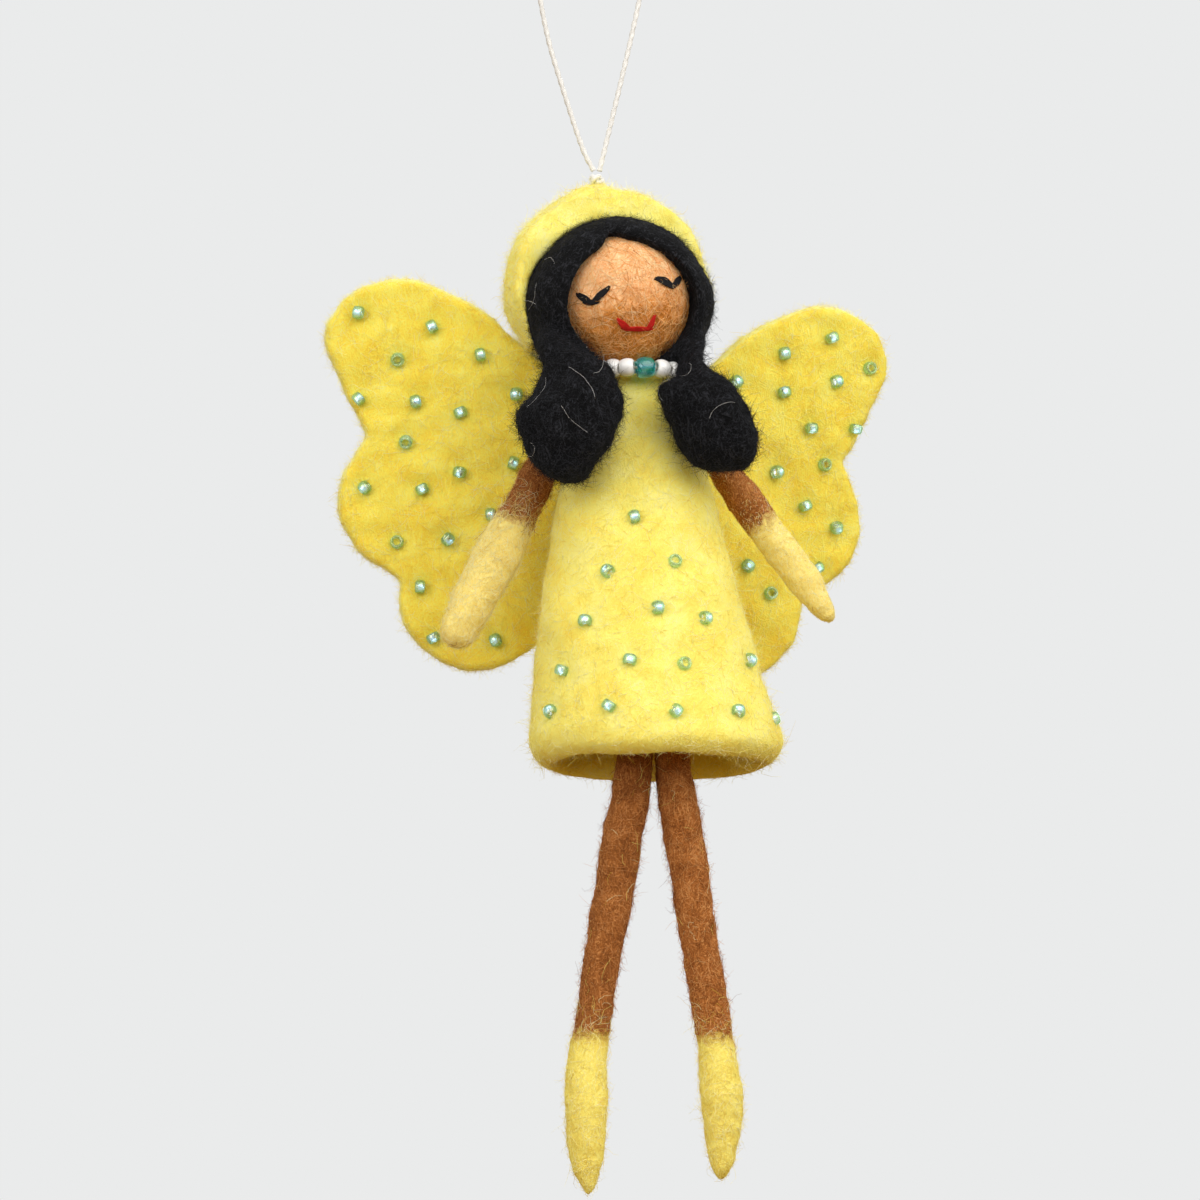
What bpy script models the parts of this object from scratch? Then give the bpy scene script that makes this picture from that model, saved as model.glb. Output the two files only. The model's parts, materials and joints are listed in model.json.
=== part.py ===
"""Felt fairy doll that hangs from a cotton loop.

Needle-felted wool over a steel wire armature: a bell dress over a torso core, a ball head
with hair, two hair bunches and a hood, wire arms and legs, and a pair of bead-sewn wings.
The doll faces -Y and hangs along Z, and the world origin is the top of the hanging loop.
"""

import math

import bmesh
import bpy
from mathutils import Matrix, Vector

# Sizes are in millimetres and angles in degrees. MM turns them into metres.
MM = 0.001
SEAT = 0.3

# Hanging loop and the knot it comes out of, placed from the neck's axis.
LOOP_CORD = 0.8
LOOP_HEIGHT = 45.4
KNOT_RADIUS = 1.0
KNOT_X = -4.9
KNOT_Y = 4.0

# Head ball, hair and hood.
HEAD_RADIUS = 10.6
HEAD_X = -2.4
HEAD_Y = -1.0
HEAD_ROLL = 10.6
HEAD_YAW = 4.0
FACE_HALF_WIDTH = 9.4
FACE_HALF_HEIGHT = 9.3
HAIR_SIDE = 3.7
HAIR_BACK = 2.2
HAIR_TOP = 3.0
HAIR_NAPE = 8.4
HOOD_THICKNESS = 4.9
HOOD_BACK = 5.0
HOOD_RISE = 3.3
HOOD_RIM = 1.0
HOOD_NAPE = 4.0
STITCH_RADIUS = 0.4

# Necklace.
NECKLACE_RADIUS = 8.0
NECKLACE_THREAD = 0.2
WHITE_BEAD_RADIUS = 1.43
WHITE_BEAD_LENGTH = 1.7
CENTRE_BEAD_RADIUS = 1.7
CENTRE_BEAD_LENGTH = 2.6
NECKLACE_BEADS_A_SIDE = 4

# Dress, a felted bell with a thick yoke, and the torso core inside it.
DRESS_LENGTH = 59.0
DRESS_DEPTH = 0.82
COLLAR_GAP = 0.6
COLLAR_HALF = 4.8
SHOULDER_HALF = 8.0
SHOULDER_FADE = 3.5
HEM_HALF = 19.9
HEM_SWAY = 4.0
SWAY_POWER = 2.3
FELT = 3.0
HEM_ROLL = 4.0
HEM_ROUND = 4.2
YOKE = 4.5
CORE_CHEST_DROP = 22.0
CORE_HIP_HALF = 6.2

# Armature wire.
WIRE_RADIUS = 0.45
WIRE_SHORT = 2.8
WIRE_PITCH = 7.0
HIP_WIRE_PITCH = 1.5
NECK_WIRE_UP = 6.0
NECK_WIRE_DOWN = 8.0

# Arms: brown wool to the glove's edge, then the glove.
SHOULDER_DROP = 10.4
SHOULDER_RADIUS = 1.7
ARM_SETBACK = 1.5
ARM_RADIUS = 2.65
GLOVE_RADIUS = 2.8
UPPER_ARM = 13.5
GLOVE_LENGTH = {"left": 21.2, "right": 18.5}
ARM_SPREAD = {"left": 26.9, "right": 36.6}
GLOVE_TIP = 1.7
TONGUE = 6.0
TONGUE_RADIUS = 1.5

# Legs: brown wool to the ankle, then a pointed shoe.
HIP_RISE = 11.0
HIP_SPACING = 5.6
HIP_SHIFT = 0.5
HIP_RADIUS = 2.4
HIP_OPEN = 1.7
LEG_RADIUS = 2.65
ANKLE_RADIUS = 2.45
LEG_DROP = 10.0
SHIN = 41.5
LEG_SPLAY = {"left": 9.4, "right": 8.9}
FOOT_LENGTH = {"left": 23.2, "right": 21.0}
FOOT_BOW = 0.9
TOE_FORWARD = 1.5
SHOE_RADIUS = 2.75

# Wings: two felt leaves on a spine strip that is sewn to the dress's back.
WING_DROP = 18.6
WING_THICKNESS = 2.4
WING_SWEEP = {"left": 13.0, "right": 17.0}
HINGE_HALF = 3.0
SPINE_HEIGHT = 24.0
WING_DROOP = {"left": 0.0, "right": 2.5}

# Seed beads.
SEED_RADIUS = 1.08
SEED_LENGTH = 1.5
SEED_HOLE = 0.45
SEED_SUNK = 0.35

# Wing outline from the hinge outward and up, with True at the two sharp notches.
WING_TOP = 33.8
WING_REACH = 42.6
WING_OUTLINE = [
    (9.5, 21.8, False),
    (21.0, 30.6, False),
    (33.0, WING_TOP, False),
    (WING_REACH, 26.8, False),
    (40.6, 19.0, False),
    (35.8, 10.0, True),
    (39.8, 0.4, False),
    (37.0, -7.0, False),
    (30.2, -12.0, True),
    (29.2, -18.6, False),
    (19.0, -25.4, False),
    (9.5, -21.8, False),
]

# Bead places on each wing, from the hinge outward and up.
WING_BEADS = {
    "left": [
        (36.2, 29.0), (25.1, 26.9), (30.2, 21.7), (18.1, 22.6), (36.0, 15.9), (27.8, 15.7),
        (21.0, 13.7), (12.8, 16.8), (29.1, 9.3), (21.2, 4.9), (35.3, 2.7), (26.7, 2.7),
        (13.2, 6.6), (16.4, -1.4), (30.6, -5.6), (22.8, -5.0), (26.8, -12.5), (24.5, -20.5),
        (15.5, -20.5),
    ],
    "right": [
        (24.2, 24.7), (32.5, 27.5), (38.6, 23.2), (33.0, 21.0), (24.3, 18.7), (15.8, 20.3),
        (29.1, 13.6), (36.2, 14.0), (31.2, 8.1), (22.9, 6.3), (28.1, 1.9), (33.5, -1.2),
        (18.3, -7.9), (30.5, -7.7), (22.3, -11.8),
    ],
}

# Bead places on the dress: degrees round from the front, and drop below the collar.
DRESS_BEADS = [
    (-12, 22.8), (-30, 31.2), (13, 29.6), (-43, 38.9), (-2, 37.0), (25, 38.1), (-59, 46.0),
    (-19, 45.0), (8, 45.1), (56, 43.8), (-67, 52.0), (-31, 51.8), (0, 52.4), (32, 52.0),
    (68, 52.0),
]

# Face stitches on the head ball: right and up from the middle of the face.
FACE_STITCHES = {
    "eye_left_stitches": [(-7.6, 1.4), (-6.6, -0.1), (-4.4, 1.2)],
    "eye_right_stitches": [(3.3, 1.5), (5.4, 0.3), (7.3, 1.7)],
    "mouth_stitches": [(-3.5, -3.8), (-2.3, -5.4), (0.8, -5.8), (1.9, -4.1)],
}

# Hair bunches: right of the neck's axis, back, below the head's centre, and radius.
BUNCHES = {
    "left": [
        (-12.4, -4.5, 5.0, 3.8), (-13.0, -8.2, 10.4, 4.3), (-12.6, -11.4, 16.0, 6.7),
        (-12.2, -12.4, 21.5, 7.3), (-11.9, -12.4, 25.8, 6.0), (-11.7, -12.3, 28.4, 3.4),
        (-11.7, -12.2, 29.2, 0.0),
    ],
    "right": [
        (8.6, -5.0, 4.0, 2.8), (7.8, -10.4, 10.2, 2.5), (8.4, -12.2, 14.6, 4.8),
        (10.2, -12.5, 19.8, 6.3), (11.8, -12.4, 24.0, 5.5), (12.7, -12.3, 26.8, 3.0),
        (13.0, -12.2, 27.6, 0.0),
    ],
}
BUNCH_DEPTH = 0.8

# The loop's route, across from the knot and below the loop's top.
LOOP_ROUTE = [
    (0.45, -44.0), (1.3, -40.5), (3.2, -32.5), (5.3, -23.5), (7.2, -14.5), (8.0, -9.0),
    (7.2, -4.6), (4.6, -1.3), (0.8, 0.0), (-3.2, -0.9), (-7.0, -4.2), (-8.9, -9.0),
    (-9.2, -14.5), (-7.6, -23.5), (-4.9, -32.5), (-2.2, -40.5), (-0.45, -44.0),
]
LOOP_STEP = 2.2
LOOP_TOP_X = 0.8

COLOURS = {
    "yellow_felt": ((0.85, 0.62, 0.05), 0.9),
    "yellow_wool": ((0.80, 0.64, 0.16), 0.9),
    "brown_wool": ((0.28, 0.12, 0.05), 0.9),
    "tan_wool": ((0.55, 0.28, 0.12), 0.9),
    "black_wool": ((0.015, 0.015, 0.017), 0.85),
    "raw_wool": ((0.75, 0.70, 0.58), 0.9),
    "cotton": ((0.85, 0.84, 0.80), 0.8),
    "red_thread": ((0.60, 0.03, 0.02), 0.7),
    "black_thread": ((0.012, 0.012, 0.012), 0.7),
    "white_bead": ((0.86, 0.85, 0.80), 0.2),
    "teal_bead": ((0.02, 0.25, 0.32), 0.15),
    "aqua_bead": ((0.35, 0.75, 0.62), 0.1),
    "steel_wire": ((0.45, 0.45, 0.46), 0.35),
}

# Heights that follow from the sizes, measured up from the loop's top.
KNOT_Z = -LOOP_HEIGHT
HOOD_RADIUS = HEAD_RADIUS + HOOD_THICKNESS
CROWN_Z = KNOT_Z - KNOT_RADIUS - SEAT
HOOD_OFF_X = KNOT_X - HEAD_X + HOOD_RISE * math.sin(math.radians(HEAD_ROLL))
HOOD_Z = CROWN_Z - math.sqrt(HOOD_RADIUS**2 - HOOD_OFF_X**2)
HEAD_Z = HOOD_Z - HOOD_RISE * math.cos(math.radians(HEAD_ROLL))
COLLAR_Z = HEAD_Z - HEAD_RADIUS - COLLAR_GAP
HEM_Z = COLLAR_Z - DRESS_LENGTH
SHOULDER_Z = COLLAR_Z - SHOULDER_DROP
HIP_Z = HEM_Z + HIP_RISE
WING_Z = COLLAR_Z - WING_DROP
BORE_RADIUS = WIRE_RADIUS + SEAT


def clear_scene():
    """Remove every object so the script can run again."""
    for thing in list(bpy.data.objects):
        bpy.data.objects.remove(thing, do_unlink=True)


def finish(thing, kind):
    """Give an object its own material of one kind."""
    colour, roughness = COLOURS[kind]
    material = bpy.data.materials.new(thing.name + "_" + kind)
    material.use_nodes = True
    shader = material.node_tree.nodes["Principled BSDF"]
    shader.inputs["Base Color"].default_value = (*colour, 1.0)
    shader.inputs["Roughness"].default_value = roughness
    shader.inputs["Metallic"].default_value = 1.0 if kind == "steel_wire" else 0.0
    thing.data.materials.append(material)
    return thing


def add_object(name, data, parent):
    """Link an object under an empty."""
    thing = bpy.data.objects.new(name, data)
    bpy.context.scene.collection.objects.link(thing)
    thing.parent = parent
    return thing


def add_empty(name, parent, place, turn=None):
    """Add an empty that stands on a joint's axis or carries a group."""
    empty = add_object(name, None, parent)
    frame = turn.to_4x4() if turn else Matrix.Identity(4)
    empty.matrix_local = Matrix.Translation(Vector(place) * MM) @ frame
    return empty


def mesh_object(name, bm, parent):
    """Turn a bmesh in millimetres into a smooth mesh object in metres."""
    bmesh.ops.recalc_face_normals(bm, faces=bm.faces[:])
    bmesh.ops.scale(bm, vec=(MM, MM, MM), verts=bm.verts[:])
    mesh = bpy.data.meshes.new(name)
    bm.to_mesh(mesh)
    bm.free()
    mesh.shade_smooth()
    mesh.set_sharp_from_angle(angle=math.radians(50))
    return add_object(name, mesh, parent)


def as_tool(thing):
    """Keep an object as a cutter that is not a piece of the doll."""
    thing.hide_render = True
    thing.display_type = "WIRE"
    return thing


def combine(target, tool, operation="DIFFERENCE"):
    """Cut a tool out of a piece, or join it to the piece."""
    modifier = target.modifiers.new(operation.title(), "BOOLEAN")
    modifier.operation = operation
    modifier.solver = "EXACT"
    modifier.object = tool


def straight_path(start, direction, lift=(0.0, 1.0, 0.0)):
    """Path that runs straight from a point."""
    start = Vector(start)
    heading = Vector(direction).normalized()

    def at(along):
        return start + heading * along, heading, Vector(lift)

    return at


def smooth_points(points, steps):
    """Points on a smooth curve through the given ones."""
    spots = [Vector(p) for p in points]
    ends = [spots[0] * 2 - spots[1]] + spots + [spots[-1] * 2 - spots[-2]]
    curve = []
    for a, b, c, d in zip(ends, ends[1:], ends[2:], ends[3:]):
        for step in range(steps):
            t = step / steps
            bend = (a * 2 - b * 5 + c * 4 - d) * t * t + (b * 3 - a - c * 3 + d) * t**3
            curve.append((b * 2 + (c - a) * t + bend) / 2)
    curve.append(spots[-1])
    return curve


def bent_path(points, lift=(0.0, 1.0, 0.0)):
    """Path through points on a smooth curve, and the distance along it to each point."""
    steps = 12
    curve = smooth_points(points, steps)
    reach = [0.0]
    for a, b in zip(curve, curve[1:]):
        reach.append(reach[-1] + (b - a).length)

    def at(along):
        leg = 0
        while leg < len(curve) - 2 and reach[leg + 1] < along:
            leg += 1
        heading = (curve[leg + 1] - curve[leg]).normalized()
        return curve[leg] + heading * (along - reach[leg]), heading, Vector(lift)

    return at, reach[::steps]


def ring_frame(path, along, half_width, half_depth):
    """Matrix that lays a unit circle across the path."""
    centre, heading, lift = path(along)
    side = heading.cross(lift).normalized()
    across = side.cross(heading)
    frame = Matrix((side * half_width, across * half_depth, heading)).transposed().to_4x4()
    return Matrix.Translation(centre) @ frame


def swept(name, parent, path, stations, segments, tips=(None, None), depth=1.0):
    """Solid of rings carried along a path.

    stations are (distance, half width), or (distance, half width, half depth). tips are the
    distances of the points that close the two ends. Without them the rings close on themselves.
    """
    frames = []
    for station in stations:
        half_depth = station[2] if len(station) == 3 else station[1] * depth
        frames.append(ring_frame(path, station[0], station[1], half_depth))
    bm = bmesh.new()
    first = bmesh.ops.create_circle(bm, segments=segments, radius=1.0, matrix=frames[0])["verts"]
    first_edges = bm.edges[:]
    edges = first_edges
    for before, after in zip(frames, frames[1:]):
        grown = bmesh.ops.extrude_edge_only(bm, edges=edges)["geom"]
        verts = [g for g in grown if isinstance(g, bmesh.types.BMVert)]
        edges = [e for e in grown if isinstance(e, bmesh.types.BMEdge) and e.is_boundary]
        bmesh.ops.transform(bm, matrix=after @ before.inverted(), verts=verts)
    if tips[0] is None:
        bmesh.ops.bridge_loops(bm, edges=first_edges + edges)
    else:
        close_tip(bm, edges, path(tips[1])[0])
        first_edges = list({e for v in first for e in v.link_edges if e.is_boundary})
        close_tip(bm, first_edges, path(tips[0])[0])
    return mesh_object(name, bm, parent)


def close_tip(bm, edges, point):
    """Close an open ring with a fan to one point."""
    grown = bmesh.ops.extrude_edge_only(bm, edges=edges)["geom"]
    verts = [g for g in grown if isinstance(g, bmesh.types.BMVert)]
    bmesh.ops.pointmerge(bm, verts=verts, merge_co=point)


def ball(name, parent, centre, radii, segments=22, rings=12):
    """Ball or egg with its poles along Z."""
    bm = bmesh.new()
    frame = Matrix.Translation(Vector(centre)) @ Matrix.Diagonal((*radii, 1.0))
    bmesh.ops.create_uvsphere(bm, u_segments=segments, v_segments=rings, radius=1.0, matrix=frame)
    return mesh_object(name, bm, parent)


def block(name, parent, centre, sides):
    """Plain box."""
    bm = bmesh.new()
    frame = Matrix.Translation(Vector(centre)) @ Matrix.Diagonal((*sides, 1.0))
    bmesh.ops.create_cube(bm, size=1.0, matrix=frame)
    return mesh_object(name, bm, parent)


def tube(name, parent, points, radius, resolution, cyclic=False):
    """Round thread or wire along points, as a bevelled curve."""
    curve = bpy.data.curves.new(name, "CURVE")
    curve.dimensions = "3D"
    curve.bevel_depth = radius * MM
    curve.bevel_resolution = resolution
    curve.use_fill_caps = True
    spline = curve.splines.new("POLY")
    spline.points.add(len(points) - 1)
    for spot, point in zip(spline.points, points):
        spot.co = (*(Vector(point) * MM), 1.0)
    spline.use_cyclic_u = cyclic
    spline.use_smooth = True
    return add_object(name, curve, parent)


def even_points(points, step):
    """Points about one step apart on a smooth curve through the given ones."""
    path, marks = bent_path(points)
    length = marks[-1]
    count = round(length / step)
    return [path(length * i / count)[0] for i in range(count + 1)]


def dress_half(drop):
    """Half width of the dress at a drop below the collar."""
    flare = SHOULDER_HALF + (HEM_HALF - SHOULDER_HALF) * drop / DRESS_LENGTH
    return flare - (SHOULDER_HALF - COLLAR_HALF) * math.exp(-drop / SHOULDER_FADE)


def dress_sway(drop):
    """How far the dress's axis swings to +X at a drop below the collar."""
    return HEM_SWAY * (drop / DRESS_LENGTH) ** SWAY_POWER


def dress_path(drop):
    """Centre line of the dress, by drop below the collar."""
    lift = Vector((0.0, 1.0, 0.0))
    return Vector((dress_sway(drop), 0.0, COLLAR_Z - drop)), Vector((0.0, 0.0, -1.0)), lift


def dress_surface(angle, drop):
    """Point on the dress's outside and its outward direction."""
    turn = math.radians(angle)
    half = dress_half(drop)
    slope = (dress_half(drop + 1.0) - dress_half(drop - 1.0)) / 2
    across = Vector((math.sin(turn), -math.cos(turn) * DRESS_DEPTH, 0.0))
    point = Vector((dress_sway(drop), 0.0, COLLAR_Z - drop)) + across * half
    out = Vector((math.sin(turn), -math.cos(turn) / DRESS_DEPTH, slope))
    return point, out.normalized()


def ball_end(radius, steps=3):
    """Stations of the round end that starts a limb, about distance 0."""
    turns = [math.pi / 2 * (steps - i) / (steps + 1) for i in range(steps)]
    return [(-radius * math.sin(t), radius * math.cos(t)) for t in turns]


def bead(name, parent, centre, axis, radius, length, hole, segments=8):
    """Round glass bead with a bore along its axis."""
    half = length / 2
    wall = radius - hole
    stations = [
        (-half * 0.6, hole), (-half, hole + wall * 0.4), (-half * 0.7, radius * 0.92),
        (0.0, radius), (half * 0.7, radius * 0.92), (half, hole + wall * 0.4), (half * 0.6, hole),
    ]
    lift = Vector(axis).orthogonal()
    return swept(name, parent, straight_path(centre, axis, lift), stations, segments)


def hair_egg(name, parent, grow):
    """Outer form of the hair, on the head's centre."""
    radii = [HEAD_RADIUS + HAIR_SIDE, HEAD_RADIUS + HAIR_BACK, HEAD_RADIUS + HAIR_TOP]
    return ball(name, parent, (0.0, 0.0, 0.0), [r + grow for r in radii], 24, 14)


def make_head(doll):
    """Head ball, hair cap, hood, bunches and face stitches."""
    tilt = Matrix.Rotation(math.radians(HEAD_YAW), 3, "Z")
    tilt = tilt @ Matrix.Rotation(math.radians(-HEAD_ROLL), 3, "Y")
    frame = add_empty("head_frame", doll, (HEAD_X, HEAD_Y, HEAD_Z), tilt)
    far = 4 * HEAD_RADIUS

    head = finish(ball("head", frame, (0, 0, 0), [HEAD_RADIUS] * 3), "tan_wool")
    wire_top = COLLAR_Z + NECK_WIRE_UP + SEAT
    bore_path = straight_path((0.0, 0.0, wire_top), (0, 0, -1))
    bore_stations = [(0.0, BORE_RADIUS), (far, BORE_RADIUS)]
    combine(head, as_tool(swept("neck_bore", doll, bore_path, bore_stations, 10, (0.0, far))))

    head_cut = as_tool(ball("head_cut", frame, (0, 0, 0), [HEAD_RADIUS + SEAT] * 3))
    hair_cut = as_tool(hair_egg("hair_cut", frame, SEAT))
    opening = straight_path((0, -HOOD_RIM, 0), (0, -1, 0), (0, 0, 1))
    rims = [(0.0, FACE_HALF_WIDTH, FACE_HALF_HEIGHT), (far, FACE_HALF_WIDTH, FACE_HALF_HEIGHT)]
    face_cut = as_tool(swept("face_cut", frame, opening, rims, 28, (0.0, far)))
    nape_z = HEAD_Z - HAIR_NAPE - far / 2
    nape_cut = as_tool(block("nape_cut", doll, (HEAD_X, HEAD_Y, nape_z), (far, far, far)))

    hair = finish(hair_egg("hair_cap", frame, 0.0), "black_wool")
    for tool in (head_cut, face_cut, nape_cut):
        combine(hair, tool)

    hood = ball("hood", frame, (0, HOOD_BACK, HOOD_RISE), [HOOD_RADIUS] * 3, 24, 14)
    finish(hood, "yellow_wool")
    rim_cut = as_tool(block("rim_cut", frame, (0, HOOD_RIM - far / 2, 0), (far, far, far)))
    hem_cut = as_tool(block("hood_hem_cut", frame, (0, 0, -HOOD_NAPE - far / 2), (far, far, far)))
    for tool in (hair_cut, rim_cut, hem_cut):
        combine(hood, tool)

    for side, route in BUNCHES.items():
        path, marks = bent_path([(x, y, HEAD_Z - drop) for x, y, drop, _ in route])
        swells = [(mark, spot[3], 0.0) for mark, spot in zip(marks, route)]
        stations = [(p.x, p.y) for p in smooth_points(swells, 2)[1:-1]]
        bunch = swept("hair_bunch_" + side, doll, path, stations, 16, (0.0, marks[-1]), BUNCH_DEPTH)
        finish(bunch, "black_wool")
        combine(bunch, hair_cut)
        combine(bunch, head_cut)

    over = HEAD_RADIUS + SEAT + STITCH_RADIUS
    for name, marks in FACE_STITCHES.items():
        corners = [Vector((a, -math.sqrt(over**2 - a * a - b * b), b)) for a, b in marks]
        points = [p.normalized() * over for p in smooth_points(corners, 3)]
        kind = "red_thread" if name.startswith("mouth") else "black_thread"
        finish(tube(name, frame, points, STITCH_RADIUS, 1), kind)


def make_loop(doll):
    """Cotton hanging loop and its knot on the crown."""
    knot = ball("loop_knot", doll, (KNOT_X, KNOT_Y, KNOT_Z), [KNOT_RADIUS] * 3, 10, 6)
    finish(knot, "cotton")
    route = [(KNOT_X + across, KNOT_Y, up) for across, up in LOOP_ROUTE]
    finish(tube("hanging_loop", doll, even_points(route, LOOP_STEP), LOOP_CORD / 2, 2), "cotton")


def make_dress(doll):
    """Felted bell dress, its core and the wires that run through the core."""
    shares = [0.0, 0.015, 0.04, 0.075, 0.13, 0.21, 0.33, 0.47, 0.61, 0.75]
    outside = [DRESS_LENGTH * share for share in shares]
    hem_top = DRESS_LENGTH - HEM_ROUND
    rim = HEM_ROLL / 2
    stations = [(0.0, BORE_RADIUS, BORE_RADIUS)]
    stations += [(d, dress_half(d), dress_half(d) * DRESS_DEPTH) for d in outside]
    hem = dress_half(hem_top)
    for turn in range(0, 181, 36):
        out = rim * (math.cos(math.radians(turn)) - 1)
        drop = hem_top + HEM_ROUND * math.sin(math.radians(turn))
        stations.append((drop, hem + out, hem * DRESS_DEPTH + out))
    inside = [d for d in reversed(outside) if d > YOKE] + [YOKE]
    for d in inside:
        stations.append((d, dress_half(d) - FELT, dress_half(d) * DRESS_DEPTH - FELT))
    stations.append((YOKE, BORE_RADIUS, BORE_RADIUS))
    dress = finish(swept("dress", doll, dress_path, stations, 32), "yellow_felt")
    core = make_core(doll)
    bore = make_shoulder_wire(doll)
    combine(dress, bore)
    combine(core, bore)


def core_half(drop):
    """Half width and half depth of the torso core at a drop below the collar."""
    half = dress_half(drop) - FELT - SEAT
    deep = dress_half(drop) * DRESS_DEPTH - FELT - SEAT
    if drop <= CORE_CHEST_DROP:
        return half, deep
    chest = dress_half(CORE_CHEST_DROP)
    fall = (drop - CORE_CHEST_DROP) / (core_bottom() - CORE_CHEST_DROP)
    ease = fall * fall * (3 - 2 * fall)
    half = (chest - FELT - SEAT) * (1 - ease) + CORE_HIP_HALF * ease
    deep = (chest * DRESS_DEPTH - FELT - SEAT) * (1 - ease) + CORE_HIP_HALF * DRESS_DEPTH * ease
    return half, deep


def core_bottom():
    """Drop below the collar at which the core ends, above the hips so that the legs can swing."""
    return DRESS_LENGTH - HIP_RISE - HIP_OPEN


def make_core(doll):
    """Stuffed torso core with bores for the neck, shoulder and hip wires."""
    top = YOKE + SEAT
    bottom = core_bottom()
    count = 8
    drops = [top + (bottom - top) * i / count for i in range(count + 1)]
    stations = [(d, *core_half(d)) for d in drops]
    core = swept("torso_core", doll, dress_path, stations, 20, (top, bottom + SEAT))
    finish(core, "raw_wool")

    neck_end = YOKE + NECK_WIRE_DOWN
    neck = straight_path((0.0, 0.0, COLLAR_Z + NECK_WIRE_UP), (0, 0, -1))
    length = NECK_WIRE_UP + neck_end
    wire("neck_wire", doll, neck, 0.0, length)
    combine(core, wire_bore("neck_wire_bore", doll, neck, 0.0, length))

    hips = hip_pivots()
    rise = HIP_RADIUS + 2 * SEAT
    arch = HIP_SPACING / 2
    points = []
    for turn in range(0, 181, 30):
        across = -arch * math.cos(math.radians(turn))
        up = arch * math.sin(math.radians(turn))
        points.append((hips["left"].x + arch + across, 0.0, HIP_Z + rise + up))
    bow, marks = bent_path(points)
    length = marks[-1]
    wire("hip_wire", doll, bow, 0.0, length, HIP_WIRE_PITCH)
    combine(core, wire_bore("hip_wire_bore", doll, bow, 0.0, length, HIP_WIRE_PITCH))
    for side, pivot in hips.items():
        socket = ball("hip_socket_" + side, doll, pivot, [HIP_RADIUS + SEAT] * 3, 16, 10)
        combine(core, as_tool(socket))
    return core


def make_shoulder_wire(doll):
    """Wire across the shoulders, and the tool that cuts its bore."""
    pivots = shoulder_pivots()
    short = SHOULDER_RADIUS + 2 * SEAT
    start = pivots["left"] + Vector((short, 0.0, 0.0))
    length = pivots["right"].x - short - start.x
    cross = straight_path(start, (1, 0, 0))
    wire("shoulder_wire", doll, cross, 0.0, length)
    return wire_bore("shoulder_wire_bore", doll, cross, 0.0, length)


def wire(name, parent, path, start, end, pitch=WIRE_PITCH):
    """Steel armature wire along a path."""
    stops = wire_stops(start, end, pitch)
    stations = [(d, WIRE_RADIUS) for d in stops]
    return finish(swept(name, parent, path, stations, 8, (start, end)), "steel_wire")


def wire_bore(name, parent, path, start, end, pitch=WIRE_PITCH):
    """Tool that cuts a wire's bore, with clearance all round."""
    stops = wire_stops(start - SEAT, end + SEAT, pitch)
    stations = [(d, BORE_RADIUS) for d in stops]
    return as_tool(swept(name, parent, path, stations, 8, (start - SEAT, end + SEAT)))


def wire_stops(start, end, pitch):
    """Distances at which a wire has a ring."""
    count = max(1, round((end - start) / pitch))
    return [start + (end - start) * i / count for i in range(count + 1)]


def shoulder_pivots():
    """Centres of the two shoulders, which lie against the dress's sides."""
    slope = math.atan((HEM_HALF - SHOULDER_HALF) / DRESS_LENGTH)
    half = dress_half(SHOULDER_DROP) + (SHOULDER_RADIUS + SEAT) / math.cos(slope)
    sway = dress_sway(SHOULDER_DROP)
    return {
        "left": Vector((sway - half, ARM_SETBACK, SHOULDER_Z)),
        "right": Vector((sway + half, ARM_SETBACK, SHOULDER_Z)),
    }


def hip_pivots():
    """Centres of the two hips, inside the skirt."""
    middle = dress_sway(DRESS_LENGTH - HIP_RISE) + HIP_SHIFT
    return {
        "left": Vector((middle - HIP_SPACING / 2, 0.0, HIP_Z)),
        "right": Vector((middle + HIP_SPACING / 2, 0.0, HIP_Z)),
    }


def make_limb(empty, path, names, seam, length, sleeve, covered):
    """Wire, wool limb and the sleeve over its end, along one path.

    covered holds the wool's stations up to the seam, and sleeve the outer stations past it.
    """
    tongue_end = seam + TONGUE
    wire_end = length - WIRE_SHORT
    wire(names["wire"], empty, path, SEAT, wire_end)
    radius = covered[0]
    wool = ball_end(radius) + covered[1]
    wool += [(seam, TONGUE_RADIUS), (tongue_end, TONGUE_RADIUS), (tongue_end, BORE_RADIUS)]
    wool += [(d, BORE_RADIUS) for d in reversed(wire_stops(0.0, tongue_end - BORE_RADIUS, WIRE_PITCH))]
    limb = swept(names["wool"], empty, path, wool, 14, (-radius, -SEAT))
    finish(limb, "brown_wool")

    mouth = seam + SEAT
    hollow = TONGUE_RADIUS + SEAT
    inner = [(wire_end + SEAT, BORE_RADIUS), (tongue_end + 2 * SEAT, BORE_RADIUS)]
    inner += [(tongue_end + SEAT, hollow), (mouth, hollow)]
    cover = swept(names["sleeve"], empty, path, inner + sleeve, 14, (wire_end + 2 * SEAT, length))
    finish(cover, "yellow_wool")


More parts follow.
